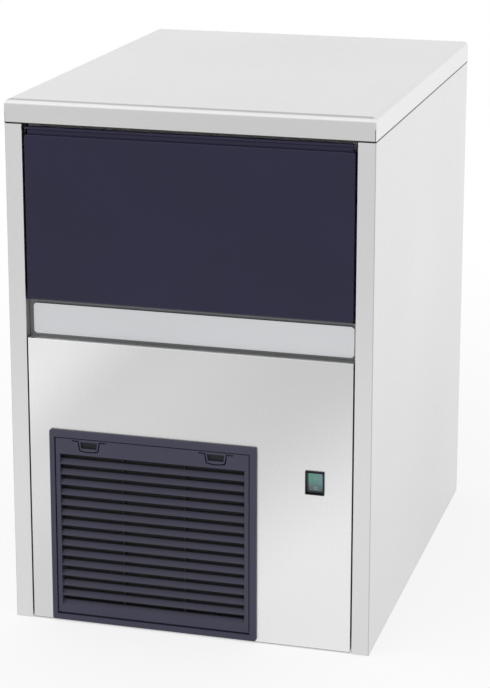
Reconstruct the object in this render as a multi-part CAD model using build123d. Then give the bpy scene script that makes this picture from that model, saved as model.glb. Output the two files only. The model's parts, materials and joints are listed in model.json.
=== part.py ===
from build123d import *
import math
import os

# Self-contained air-cooled ice flaker, in millimetres.
# The cabinet stands on its base pan at Z = 0, its front faces -Y and +X is its right side.

# Cabinet
WIDTH = 470.0
DEPTH = 620.0
HEIGHT = 685.0
SHEET = 1.0
BEND = 1.5
POST_WIDTH = 22.5
POST_RETURN = 14.0
REAR_FLANGE = 20.0
LID_HEIGHT = 30.0
LID_BEND = 8.0
LID_SLIT = 1.0
LID_SLIT_HEIGHT = 15.0
SEAM_GAP = 0.3
FIT_GAP = 0.3
TOP_ROUND = 0.8
REAR_SCREW = 2.0

# What stands out in front of the cabinet and behind it
GRILLE_PROUD = 4.0
FITTING_REACH = 20.0
FITTING_LIFT = 1.0
FITTING_NECK = 0.7

# Lower front panel, sill and trim bar
PANEL_GAP = 1.5
PANEL_TOP = 380.0
PANEL_RETURN = 12.0
SILL_FACE_LOW = 20.0
SILL_HEIGHT = 48.0
SILL_FLANGE = 8.0
TRIM_THICK = 3.0
TRIM_HEIGHT = 40.5
TRIM_LIFT = 3.5
TRIM_LEFT_GAP = 6.0
TRIM_RIGHT_GAP = 3.0
TRIM_CORNER = 5.0

# Door
DOOR_GAP = 2.5
DOOR_LIFT = 3.0
DOOR_TOP_GAP = 13.5
DOOR_DEPTH = 18.0
DOOR_WALL = 2.5
DOOR_EDGE = 2.0
DOOR_CORNER = 3.0
DOOR_RIB = 6.0
HINGE_DROP = 5.8
HINGE_BACK = 5.0
BEAD_RADIUS = 2.6
BEAD_INSET = 3.5
BEAD_WEB = 2.0
HINGE_PIN_RADIUS = 1.5
HINGE_PIN_SEAT = 12.0
HINGE_PIN_REACH = 3.5
RUNNING_GAP = 0.05
BUSH_RADIUS = 3.5
BUSH_FLANGE = 5.0
BUSH_FLANGE_THICK = 0.8
BUSH_LENGTH = 4.0

# Louvre grille
GRILLE_MARGIN = 29.0
GRILLE_WIDTH = 273.2
GRILLE_BOTTOM = 3.6
GRILLE_HEIGHT = 258.0
GRILLE_LIP = 3.5
GRILLE_CORNER = 2.5
GRILLE_EDGE = 1.0
COLLAR_DEPTH = 10.0
COLLAR_GAP = 0.3
LOUVRE_LEFT = 6.8
LOUVRE_RIGHT = 8.4
LOUVRE_LOW = 7.8
LOUVRE_HIGH = 8.9
LOUVRE_CLEAR = 1.2
LOUVRE_FOOT_GAP = 2.2
LOUVRE_EDGE = 0.6
LOUVRE_PLATE = 3.0
LOUVRE_SUNK = 1.0
LEDGE_WIDTH = 4.0
LEDGE_THICK = 2.5
LEDGE_GAP = 1.0
SLOT_COUNT = 15
SLOT_PITCH = 13.79
SLOT_FIRST_DROP = 22.4
SLOT_SIDE = 7.0
BLADE_RISE = 7.0
BLADE_BACK = 6.0
BLADE_THICK = 2.0
BLADE_RIB = 2.0
TONGUE_PLACES = (46.1, 213.7)
TONGUE_TOP_HALF = 15.2
TONGUE_LOW_HALF = 12.9
TONGUE_DROP = 3.1
TONGUE_DEPTH = 15.3
TONGUE_SAG = 1.5
TONGUE_SLIT = 1.5
TONGUE_ROUND = 3.0
EAR_REACH = 7.5
FINGER_TOP_HALF = 11.3
FINGER_LOW_HALF = 10.2
FINGER_DEPTH = 8.5
FINGER_POCKET = 2.2
TRUNNION_RADIUS = 1.3
TRUNNION_REACH = 2.6
TRUNNION_LIFT = 1.8
FILTER_THICK = 2.5
FILTER_MAT = 0.8
FILTER_RIM = 6.0

# Rocker switch
SWITCH_MARGIN = 48.5
SWITCH_HEIGHT = 222.5
BEZEL_WIDTH = 24.4
BEZEL_TALL = 31.0
BEZEL_THICK = 2.0
BEZEL_ROUND = 1.0
SWITCH_WIDTH = 22.8
SWITCH_TALL = 29.0
SWITCH_DEPTH = 26.0
ROCKER_GAP = 0.5
ROCKER_WIDTH = 20.4
ROCKER_TALL = 26.5
ROCKER_SUNK = 0.5
ROCKER_WELL = 12.0
ROCKER_RISE = 1.2
ROCKER_DROP = 1.5
ROCKER_BELLY = 8.0
ROCKER_SHOULDER = 3.0
ROCKER_PIVOT = 0.5
ROCKER_PIN = 1.5
ROCKER_PIN_REACH = 0.8

# Ice bin
BIN_SETBACK = 25.0
BIN_SIDE = 40.0
BIN_FLOOR = 320.0
BIN_HEADROOM = 7.0
BIN_WALL = 2.5
BIN_ROUND = 10.0
FOAM_BACK = 30.0
FOAM_UNDER = 26.0
FOAM_SIDE_GAP = 1.0
SHELF_SHEET = 1.2
SHELF_FLANGE = 20.0
REAR_BAY = 235.0
DRAIN_SETBACK = 60.0
DRAIN_TAIL = 24.0
DRAIN_WALL = 3.0
SPIGOT_LENGTH = 34.0
STRAINER_HOLES = 6
PROBE_LENGTH = 150.0
PROBE_RADIUS = 6.0
PROBE_FOOT = 28.0
PROBE_FOOT_THICK = 3.0

# Base
BASE_SHEET = 1.5
BASE_FLANGE = 25.0
LEG_INSET_X = 28.0
LEG_INSET_Y = 46.0
LEG_BORE = 4.25
LEG_COLLAR = 6.4
LEG_NUT = 9.0
LEG_NUT_HEIGHT = 11.0

# Condenser and fan
COIL_SETBACK = 30.0
COIL_DEPTH = 42.0
COIL_LOW = 18.0
COIL_WIDTH = 236.0
COIL_HEIGHT = 214.0
FIN_PITCH = 8.0
FIN_GROOVE = 5.0
COIL_TUBE = 4.5
COIL_ROWS = 8
COIL_PLATE = 1.5
COIL_PLATE_LIP = 4.0
SHROUD_DEPTH = 14.0
SHROUD_RING = 16.0
FAN_RADIUS = 84.0
FAN_TIP_GAP = 4.0
FAN_HUB = 21.0
FAN_BLADES = 5
FAN_DEPTH = 22.0
FAN_SETBACK = 12.0
FAN_MOTOR_GAP = 8.0
FAN_BOSS = 12.0
FAN_SHAFT = 4.0
FAN_MOTOR_RADIUS = 36.0
FAN_MOTOR_LENGTH = 58.0

# Compressor
COMPRESSOR_INSET_X = 135.0
COMPRESSOR_INSET_Y = 112.0
COMPRESSOR_LONG = 94.0
COMPRESSOR_SHORT = 72.0
COMPRESSOR_TALL = 178.0
SHELL_RIM = 4.0
SHELL_FOOT = 6.0
FOOT_LONG = 82.0
FOOT_SHORT = 60.0
FOOT_PLATE = 8.0
GROMMET_HEIGHT = 12.0
GROMMET_RADIUS = 12.0
GROMMET_NECK = 6.2
FOOT_BOLT = 4.0
DRIER_SETBACK = 60.0
DRIER_LENGTH = 110.0
LINE_PIPE = 3.0
LIQUID_INSET = 24.0
SUCTION_RADIUS = 4.0
SUCTION_LIFT = 60.0
LIQUID_SIDE = 60.0
DISCHARGE_SIDE = 40.0

# Freezer column
COLUMN_INSET_X = 128.0
COLUMN_INSET_Y = 112.0
STAND_HEIGHT = 240.0
STAND_REACH = 250.0
STAND_DEPTH = 160.0
STAND_FOOT = 22.0
GEARBOX_LONG = 104.0
GEARBOX_SHORT = 92.0
GEARBOX_TALL = 66.0
MOTOR_GROOVES = 7
BEARING_TALL = 24.0
BEARING_RADIUS = 38.0
STUB_LIFT = 9.0
STUB_REACH = 62.0
STUB_RADIUS = 6.5
BARREL_TALL = 226.0
BARREL_BORE = 28.5
BARREL_WALL = 6.0
BARREL_FLANGE = 43.0
BARREL_FLANGE_THICK = 6.0
SLEEVE_RADIUS = 50.0
DRIVE_SHAFT = 8.0
AUGER_SHAFT = 10.0
AUGER_TIP_GAP = 0.8
AUGER_PITCH = 50.0
AUGER_END_GAP = 7.0
FLIGHT_HALF_ANGLE = 24.0
BREAKER_TALL = 12.0
BREAKER_SLOTS = 8
HEAD_TALL = 48.0
HEAD_WALL = 5.0
SPOUT_WIDTH = 68.0
SPOUT_TALL = 36.0
SPOUT_WALL = 3.0
SPOUT_REACH = 18.0

# Water side
TANK_LEFT = 60.0
TANK_WIDTH = 110.0
TANK_DEPTH = 70.0
TANK_TALL = 95.0
TANK_WALL = 2.5
TANK_LEVEL = 455.0
TANK_OUTLET = 30.0
TANK_STUB = 18.0
VALVE_DROP = 22.0
VALVE_RADIUS = 8.0
FLOAT_PIN = 1.5
FLOAT_SETBACK = 17.0
HOSE_RADIUS = 7.0
INLET_INSET_X = 70.0
INLET_LEVEL = 120.0
INLET_THREAD = 13.2
INLET_TUBE = 5.0
INLET_BODY = 32.0
INLET_BODY_SETBACK = 62.0
INLET_STUB = 15.0
DRAIN_INSET_X = 130.0
DRAIN_LEVEL = 60.0
DRAIN_RADIUS = 12.0
GLAND_INSET_X = 35.0
GLAND_LEVEL = 60.0
GLAND_RADIUS = 9.0
GLAND_BORE = 4.5
GLAND_NUT = 13.0

# Terminal box
ELECTRIC_WIDTH = 84.0
ELECTRIC_DEPTH = 110.0
ELECTRIC_LOW = 70.0
ELECTRIC_TALL = 170.0
ELECTRIC_SETBACK = 48.0
ELECTRIC_WALL = 2.5
ELECTRIC_CORNER = 6.0

# Places worked out from the sizes above
FRONT = GRILLE_PROUD - (GRILLE_PROUD + DEPTH + FITTING_REACH) / 2
REAR = FRONT + DEPTH
SIDE = WIDTH / 2
LID_SEAM = HEIGHT - LID_HEIGHT
POST_IN = SIDE - POST_WIDTH
SILL_FACE = FRONT + POST_RETURN
SILL_TOP = PANEL_TOP + SILL_HEIGHT
PANEL_BOTTOM = BASE_SHEET + FIT_GAP / 3
PANEL_HALF = POST_IN - PANEL_GAP
DOOR_HALF = POST_IN - DOOR_GAP
DOOR_BOTTOM = SILL_TOP + DOOR_LIFT
DOOR_TOP = LID_SEAM - DOOR_TOP_GAP
HINGE_Y = FRONT + HINGE_BACK
HINGE_Z = LID_SEAM - HINGE_DROP
BIN_HALF_WIDTH = SIDE - BIN_SIDE
BIN_FRONT = FRONT + BIN_SETBACK
BIN_BACK = REAR - REAR_BAY
BIN_TOP = LID_SEAM - BIN_HEADROOM
FOAM_REAR = BIN_BACK + BIN_WALL + FOAM_BACK
FOAM_LOW = BIN_FLOOR - FOAM_UNDER
GRILLE_X = -POST_IN + GRILLE_MARGIN
GRILLE_TOP = GRILLE_BOTTOM + GRILLE_HEIGHT
OPEN_LEFT = GRILLE_X + LOUVRE_LEFT
OPEN_RIGHT = GRILLE_X + GRILLE_WIDTH - LOUVRE_RIGHT
OPEN_LOW = GRILLE_BOTTOM + LOUVRE_LOW
OPEN_HIGH = GRILLE_TOP - LOUVRE_HIGH
LOUVRE_FRONT = FRONT - GRILLE_PROUD + LOUVRE_SUNK
LOUVRE_BACK = LOUVRE_FRONT + LOUVRE_PLATE
TRUNNION_Y = LOUVRE_FRONT + LOUVRE_PLATE / 2
TRUNNION_Z = OPEN_LOW + LOUVRE_FOOT_GAP + TRUNNION_LIFT
RIB_BACK = LOUVRE_FRONT + BLADE_BACK + BLADE_THICK + BLADE_RIB
SWITCH_X = POST_IN - SWITCH_MARGIN
COIL_MID_X = (OPEN_LEFT + OPEN_RIGHT) / 2
COIL_FRONT = FRONT + COIL_SETBACK
COIL_BACK = COIL_FRONT + COIL_DEPTH
FAN_Z = COIL_LOW + COIL_HEIGHT / 2
SHROUD_FRONT = COIL_BACK + COIL_PLATE_LIP + FIT_GAP
FAN_FRONT = SHROUD_FRONT + FAN_SETBACK
FAN_MOTOR_FRONT = FAN_FRONT + FAN_DEPTH + FAN_MOTOR_GAP
LIQUID_X = COIL_MID_X + COIL_WIDTH / 2 + LIQUID_INSET
COIL_MID_Y = (COIL_FRONT + COIL_BACK) / 2
COIL_PITCH = COIL_HEIGHT / COIL_ROWS
DRAIN_Y = BIN_BACK - DRAIN_SETBACK
DRAIN_END = FOAM_LOW - DRAIN_TAIL
HOSE_END = REAR - SPIGOT_LENGTH
COLUMN_X = SIDE - COLUMN_INSET_X
COLUMN_Y = REAR - COLUMN_INSET_Y
GEARBOX_LOW = STAND_HEIGHT + BASE_SHEET
BEARING_LOW = GEARBOX_LOW + GEARBOX_TALL
BARREL_LOW = BEARING_LOW + BEARING_TALL
BARREL_TOP = BARREL_LOW + BARREL_TALL
HEAD_LOW = BARREL_TOP + BREAKER_TALL
HEAD_TOP = HEAD_LOW + HEAD_TALL
BARREL_RADIUS = BARREL_BORE + BARREL_WALL
SPOUT_LOW = HEAD_LOW + HEAD_WALL
COMPRESSOR_X = SIDE - COMPRESSOR_INSET_X
COMPRESSOR_Y = REAR - COMPRESSOR_INSET_Y
SHELL_LOW = BASE_SHEET + GROMMET_HEIGHT
TANK_X = -SIDE + TANK_LEFT
TANK_MID_X = TANK_X + TANK_WIDTH / 2
TANK_MID_Y = FOAM_REAR + FIT_GAP + TANK_DEPTH / 2
VALVE_Z = TANK_LEVEL + TANK_TALL - VALVE_DROP
VALVE_BACK = TANK_X - TANK_STUB
FLOAT_PIVOT = TANK_X + TANK_WALL + FLOAT_SETBACK
INLET_X = -SIDE + INLET_INSET_X
DRAIN_X = -SIDE + DRAIN_INSET_X
GLAND_X = SIDE - GLAND_INSET_X
ON_FLOOR = (Align.CENTER, Align.CENTER, Align.MIN)


def block(low, high):
    """Rectangular blank between two opposite corners."""
    size = [b - a for a, b in zip(low, high)]
    middle = [(a + b) / 2 for a, b in zip(low, high)]
    return Pos(*middle) * Box(*size)


def rod(start, direction, radius, length):
    """Round bar from a point along a direction."""
    return Plane(origin=start, z_dir=direction) * Cylinder(radius, length, align=ON_FLOOR)


def tube(start, direction, radius, bore, length):
    """Round tube from a point along a direction."""
    hole = Cylinder(bore, length, align=ON_FLOOR)
    return Plane(origin=start, z_dir=direction) * (Cylinder(radius, length, align=ON_FLOOR) - hole)


def bent_sheet(outer, thickness, side):
    """Section of a folded sheet whose outside follows the given corners."""
    line = FilletPolyline(*outer, radius=BEND)
    return make_face(offset(line, amount=thickness, side=side))


def pipe(points, bend, radius):
    """Round pipe along straight runs joined by bends."""
    path = FilletPolyline(*points, radius=bend)
    return sweep(Plane(path @ 0, z_dir=path % 0) * Circle(radius), path)


def edges_near(part, axis, value):
    """Edges that lie wholly at one coordinate of an axis."""
    return part.edges().filter_by(lambda e: abs(getattr(e.bounding_box().min, axis) - value) < 0.01
                                  and abs(getattr(e.bounding_box().max, axis) - value) < 0.01)


def rear_screw_places():
    """Where the rear panel is screwed to the side panels' flanges."""
    rows = 4
    low = 40.0
    pitch = (LID_SEAM - 2 * low) / (rows - 1)
    x = SIDE - REAR_FLANGE / 2 - SHEET
    return [(s * x, low + pitch * i) for s in (-1, 1) for i in range(rows)]


def side_panel_right():
    """Side sheet folded round the front post, with rear and top flanges."""
    rear = REAR - SHEET - FIT_GAP
    plan = bent_sheet([(POST_IN, FRONT + POST_RETURN), (POST_IN, FRONT), (SIDE, FRONT),
                       (SIDE, rear), (SIDE - REAR_FLANGE, rear)], SHEET, Side.LEFT)
    panel = extrude(plan, LID_SEAM)
    panel += block((POST_IN + SHEET / 2, FRONT + SHEET / 2, LID_SEAM - SHEET),
                   (SIDE - SHEET / 2, rear - BEND, LID_SEAM))
    panel = fillet(edges_near(panel, "Z", LID_SEAM).sort_by(Axis.Y)[0], TOP_ROUND)
    panel -= rod((POST_IN - SHEET, HINGE_Y, HINGE_Z), (1, 0, 0), BUSH_RADIUS + RUNNING_GAP, 3 * SHEET)
    for x, z in rear_screw_places():
        panel -= rod((x, REAR - 4 * SHEET, z), (0, 1, 0), REAR_SCREW + FIT_GAP, 4 * SHEET)
    return panel


def lid_blank(inset):
    """Lid block with its top edges rounded by the bend, smaller by an inset."""
    blank = block((-SIDE + inset, FRONT + inset, LID_SEAM + SEAM_GAP),
                  (SIDE - inset, REAR - inset, HEIGHT - inset))
    return fillet(edges_near(blank, "Z", HEIGHT - inset), LID_BEND - inset)


def top_lid():
    """Folded lid, open below, with a slit where front and side skirts meet."""
    lid = lid_blank(0)
    hollow = lid_blank(SHEET)
    hollow += block((-SIDE + SHEET, FRONT + SHEET, LID_SEAM - SHEET),
                    (SIDE - SHEET, REAR - SHEET, LID_SEAM + LID_SLIT_HEIGHT))
    lid -= hollow
    for s in (-1, 1):
        x = s * (SIDE - SHEET)
        lid -= block((x - LID_SLIT / 2, FRONT - SHEET, LID_SEAM),
                     (x + LID_SLIT / 2, FRONT + SHEET, LID_SEAM + LID_SLIT_HEIGHT))
    return lid


def lid_insulation():
    """Foam board glued under the lid, over the bin."""
    half = SIDE - SHEET - LID_BEND
    return block((-half, FRONT + LID_BEND + SHEET, LID_SEAM + SEAM_GAP),
                 (half, FOAM_REAR, HEIGHT - SHEET))


def rear_panel():
    """Screwed rear sheet with rows of air slots and holes for the connections."""
    slot_rows = 14
    slot_pitch = 16.0
    slot_long = 110.0
    slot_high = 5.0
    slots_low = 170.0
    half = SIDE - BEND
    sheet = block((-half, REAR - SHEET, PANEL_BOTTOM), (half, REAR, LID_SEAM - SEAM_GAP))
    slot = extrude(Plane.XZ * SlotOverall(slot_long, slot_high), SHEET, both=True)
    for column in (-1, 1):
        for row in range(slot_rows):
            sheet -= Pos(column * WIDTH / 4, REAR - SHEET / 2, slots_low + row * slot_pitch) * slot
    for x, z in rear_screw_places():
        sheet -= rod((x, REAR - 2 * SHEET, z), (0, 1, 0), REAR_SCREW + FIT_GAP, 3 * SHEET)
    for x, z, r in ((INLET_X, INLET_LEVEL, INLET_THREAD), (DRAIN_X, DRAIN_LEVEL, DRAIN_RADIUS),
                    (GLAND_X, GLAND_LEVEL, GLAND_RADIUS)):
        sheet -= rod((x, REAR - 2 * SHEET, z), (0, 1, 0), r + FIT_GAP, 3 * SHEET)
    return sheet


def rear_screws():
    """Pan-head screws that hold the rear panel."""
    head_radius = 4.0
    head_height = 2.2
    length = 7.0
    group = []
    for x, z in rear_screw_places():
        head = rod((x, REAR, z), (0, 1, 0), head_radius, head_height)
        head = chamfer(head.edges().sort_by(Axis.Y)[-1], head_height / 3)
        group.append(head + rod((x, REAR - length, z), (0, 1, 0), REAR_SCREW, length))
    return Compound(children=group)


def base_pan():
    """Floor sheet with turned-up sides and rear, whose front lip shows under the front panel."""
    half = SIDE - SHEET - FIT_GAP
    back = REAR - 2 * SHEET - 2 * FIT_GAP
    step = FRONT + POST_RETURN + FIT_GAP
    front_flange = 15.0
    pan = block((-half, step, 0), (half, back, BASE_FLANGE))
    pan -= block((-half + BASE_SHEET, step + BASE_SHEET, BASE_SHEET),
                 (half - BASE_SHEET, back - BASE_SHEET, BASE_FLANGE))
    pan -= block((-half, step, front_flange), (half, step + BASE_SHEET, BASE_FLANGE))
    pan = fillet(edges_near(pan, "Z", 0).filter_by(Axis.Y), BEND)
    pan += block((-PANEL_HALF, FRONT + SHEET / 2, 0), (PANEL_HALF, step + BASE_SHEET, BASE_SHEET))
    for x, y in leg_places():
        pan -= rod((x, y, -BASE_SHEET), (0, 0, 1), LEG_COLLAR + FIT_GAP / 3, 3 * BASE_SHEET)
    return pan


def leg_places():
    """The four places where a levelling leg can be screwed in."""
    x = SIDE - LEG_INSET_X
    return [(s * x, y) for s in (-1, 1) for y in (FRONT + LEG_INSET_Y, REAR - LEG_INSET_Y)]


def leg_inserts():
    """Weld nuts in the base pan for levelling legs."""
    group = []
    for x, y in leg_places():
        nut = rod((x, y, 0), (0, 0, 1), LEG_COLLAR, BASE_SHEET)
        nut += Pos(x, y, BASE_SHEET) * extrude(RegularPolygon(LEG_NUT, 6), LEG_NUT_HEIGHT)
        nut -= rod((x, y, -BASE_SHEET), (0, 0, 1), LEG_BORE, LEG_NUT_HEIGHT + 3 * BASE_SHEET)
        group.append(nut)
    return Compound(children=group)


def front_panel():
    """Lower front sheet folded back at its edges, cut out for the grille and the switch."""
    panel = block((-PANEL_HALF, FRONT, PANEL_BOTTOM), (PANEL_HALF, FRONT + PANEL_RETURN, PANEL_TOP))
    panel = fillet(edges_near(panel, "Y", FRONT), BEND)
    panel -= block((-PANEL_HALF + SHEET, FRONT + SHEET, PANEL_BOTTOM + SHEET),
                   (PANEL_HALF - SHEET, FRONT + PANEL_RETURN, PANEL_TOP - SHEET))
    panel += block((-PANEL_HALF, FRONT + PANEL_RETURN - SHEET, PANEL_TOP - SHEET),
                   (PANEL_HALF, SILL_FACE - FIT_GAP, PANEL_TOP))
    panel -= block((GRILLE_X + GRILLE_LIP, FRONT - SHEET, GRILLE_BOTTOM + GRILLE_LIP),
                   (GRILLE_X + GRILLE_WIDTH - GRILLE_LIP, FRONT + 2 * SHEET, GRILLE_TOP - GRILLE_LIP))
    hole_x = SWITCH_WIDTH / 2 + FIT_GAP
    hole_z = SWITCH_TALL / 2 + FIT_GAP
    panel -= block((SWITCH_X - hole_x, FRONT - SHEET, SWITCH_HEIGHT - hole_z),
                   (SWITCH_X + hole_x, FRONT + 2 * SHEET, SWITCH_HEIGHT + hole_z))
    return panel


def sill_rail():
    """Folded rail behind the trim bar; its top flange carries the bin's front edge."""
    back = SILL_FACE + SILL_FLANGE
    section = bent_sheet([(SILL_FACE, PANEL_TOP - SILL_FACE_LOW), (SILL_FACE, SILL_TOP), (back, SILL_TOP)],
                         SHEET, Side.RIGHT)
    half = POST_IN - FIT_GAP
    return Pos(-half, 0, 0) * extrude(Plane.YZ * section, 2 * half)


def trim_bar():
    """Flat metal bar along the sill with rounded corners and a softened face."""
    left = -POST_IN + TRIM_LEFT_GAP
    right = POST_IN - TRIM_RIGHT_GAP
    middle = PANEL_TOP + TRIM_LIFT + TRIM_HEIGHT / 2
    face = Pos((left + right) / 2, middle) * RectangleRounded(right - left, TRIM_HEIGHT, TRIM_CORNER)
    bar = Pos(0, SILL_FACE, 0) * extrude(Plane.XZ * face, TRIM_THICK)
    return chamfer(edges_near(bar, "Y", SILL_FACE - TRIM_THICK), TRIM_THICK / 5)


def door_tray():
    """Moulded door shell, open behind, with a rib grid."""
    outline = Pos(0, (DOOR_BOTTOM + DOOR_TOP) / 2) * RectangleRounded(2 * DOOR_HALF, DOOR_TOP - DOOR_BOTTOM,
                                                                     DOOR_CORNER)
    tray = Pos(0, FRONT, 0) * extrude(Plane.XZ * outline, -DOOR_DEPTH)
    tray = fillet(edges_near(tray, "Y", FRONT), DOOR_EDGE)
    tray -= block((-DOOR_HALF + DOOR_WALL, FRONT + DOOR_WALL, DOOR_BOTTOM + DOOR_WALL),
                  (DOOR_HALF - DOOR_WALL, FRONT + DOOR_DEPTH, DOOR_TOP - DOOR_WALL))
    rib_back = FRONT + DOOR_WALL + DOOR_RIB
    middle = (DOOR_BOTTOM + DOOR_TOP) / 2
    for x in (-DOOR_HALF / 2, 0, DOOR_HALF / 2):
        tray += block((x - DOOR_WALL / 2, FRONT + DOOR_WALL / 2, DOOR_BOTTOM + DOOR_WALL / 2),
                      (x + DOOR_WALL / 2, rib_back, DOOR_TOP - DOOR_WALL / 2))
    tray += block((-DOOR_HALF + DOOR_WALL / 2, FRONT + DOOR_WALL / 2, middle - DOOR_WALL / 2),
                  (DOOR_HALF - DOOR_WALL / 2, rib_back, middle + DOOR_WALL / 2))
    return tray


def door_panel():
    """Flap door with a hinge bead above a groove along its top edge."""
    half = DOOR_HALF - BEAD_INSET
    door = door_tray()
    door += block((-half, HINGE_Y - BEAD_WEB / 2, DOOR_TOP - DOOR_WALL / 2),
                  (half, HINGE_Y + BEAD_WEB / 2, HINGE_Z))
    door += rod((-half, HINGE_Y, HINGE_Z), (1, 0, 0), BEAD_RADIUS, 2 * half)
    for s in (-1, 1):
        door -= rod((s * (half - HINGE_PIN_SEAT), HINGE_Y, HINGE_Z), (s, 0, 0), HINGE_PIN_RADIUS,
                    2 * HINGE_PIN_SEAT)
    return door


def hinge_pins():
    """Steel pins pressed into both ends of the door's bead."""
    return Compound(children=[hinge_pin(-1), hinge_pin(1)])


def hinge_pin(s):
    """Pin at one end of the bead, with a chamfered tip."""
    half = DOOR_HALF - BEAD_INSET
    start = s * (half - HINGE_PIN_SEAT)
    length = POST_IN + HINGE_PIN_REACH - (half - HINGE_PIN_SEAT)
    pin = rod((start, HINGE_Y, HINGE_Z), (s, 0, 0), HINGE_PIN_RADIUS, length)
    end = pin.edges().sort_by(Axis.X)[-1 if s > 0 else 0]
    return chamfer(end, HINGE_PIN_RADIUS / 4)


def hinge_bushes():
    """Flanged plastic bushes in the posts, in which the pins turn."""
    return Compound(children=[hinge_bush(-1), hinge_bush(1)])


def hinge_bush(s):
    """Bush in one post."""
    bush = rod((s * (POST_IN - BUSH_FLANGE_THICK), HINGE_Y, HINGE_Z), (s, 0, 0), BUSH_FLANGE,
               BUSH_FLANGE_THICK)
    bush += rod((s * POST_IN, HINGE_Y, HINGE_Z), (s, 0, 0), BUSH_RADIUS, BUSH_LENGTH)
    bush -= rod((s * (POST_IN - 2 * BUSH_FLANGE_THICK), HINGE_Y, HINGE_Z), (s, 0, 0),
                HINGE_PIN_RADIUS + RUNNING_GAP, 2 * BUSH_LENGTH)
    return bush


def grille_frame():
    """Moulded frame over the panel's cut-out, with a collar, a ledge and pivot holes."""
    right = GRILLE_X + GRILLE_WIDTH
    outline = Pos((GRILLE_X + right) / 2, (GRILLE_BOTTOM + GRILLE_TOP) / 2) * RectangleRounded(
        GRILLE_WIDTH, GRILLE_HEIGHT, GRILLE_CORNER)
    frame = Pos(0, FRONT, 0) * extrude(Plane.XZ * outline, GRILLE_PROUD)
    frame = fillet(edges_near(frame, "Y", FRONT - GRILLE_PROUD), GRILLE_EDGE)
    inset = GRILLE_LIP + COLLAR_GAP
    frame += block((GRILLE_X + inset, FRONT - GRILLE_PROUD / 2, GRILLE_BOTTOM + inset),
                   (right - inset, FRONT + COLLAR_DEPTH, GRILLE_TOP - inset))
    ledge_front = LOUVRE_BACK + LEDGE_GAP
    ledge_back = ledge_front + LEDGE_THICK
    for y0, y1, ledge in ((FRONT - 2 * GRILLE_PROUD, ledge_front, 0), (ledge_front, ledge_back, LEDGE_WIDTH),
                          (ledge_back, FRONT + 2 * COLLAR_DEPTH, 0)):
        frame -= block((OPEN_LEFT + ledge, y0, OPEN_LOW + ledge), (OPEN_RIGHT - ledge, y1, OPEN_HIGH - ledge))
    reach = TRUNNION_REACH + LOUVRE_CLEAR
    frame -= rod((OPEN_LEFT - TRUNNION_REACH, TRUNNION_Y, TRUNNION_Z), (1, 0, 0),
                 TRUNNION_RADIUS + RUNNING_GAP, reach)
    frame -= rod((OPEN_RIGHT + TRUNNION_REACH, TRUNNION_Y, TRUNNION_Z), (-1, 0, 0),
                 TRUNNION_RADIUS + RUNNING_GAP, reach)
    return frame


def louvre_section(top):
    """Section of one sloping blade under a slot whose upper edge is at a height."""
    low = top - SLOT_PITCH
    return make_face(Polyline((LOUVRE_FRONT, low), (LOUVRE_FRONT + BLADE_BACK, low + BLADE_RISE),
                              (LOUVRE_FRONT + BLADE_BACK + BLADE_THICK, low + BLADE_RISE),
                              (LOUVRE_FRONT + BLADE_THICK, low), close=True))


def tongue_outline(x, top, shrink):
    """Outline of one snap tongue with a sagging lower edge, smaller by an inset."""
    top_half = TONGUE_TOP_HALF - shrink
    low_half = TONGUE_LOW_HALF - shrink
    low = top - TONGUE_DEPTH + shrink
    corners = [(x - top_half, top), (x - low_half, low + TONGUE_SAG), (x + low_half, low + TONGUE_SAG),
               (x + top_half, top)]
    shape = make_face(Line(corners[0], corners[1]) + ThreePointArc(corners[1], (x, low), corners[2])
                      + Line(corners[2], corners[3]) + Line(corners[3], corners[0]))
    return fillet(shape.vertices().group_by(Axis.Y)[0], TONGUE_ROUND - shrink)


def tongue_slit(x, top):
    """U-shaped slit with two ears, which frees one snap tongue."""
    slit = tongue_outline(x, top, 0) - tongue_outline(x, top, TONGUE_SLIT)
    for s in (-1, 1):
        middle = x + s * (TONGUE_TOP_HALF + (EAR_REACH - TONGUE_SLIT) / 2)
        slit += Pos(middle, top - TONGUE_SLIT / 2) * Rectangle(EAR_REACH + TONGUE_SLIT, TONGUE_SLIT)
    return slit


def finger_shape(x, top):
    """Tapered outline of the finger pocket in one tongue."""
    low = top - FINGER_DEPTH
    return make_face(Polyline((x - FINGER_TOP_HALF, top), (x - FINGER_LOW_HALF, low), (x + FINGER_LOW_HALF, low),
                              (x + FINGER_TOP_HALF, top), close=True))


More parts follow.
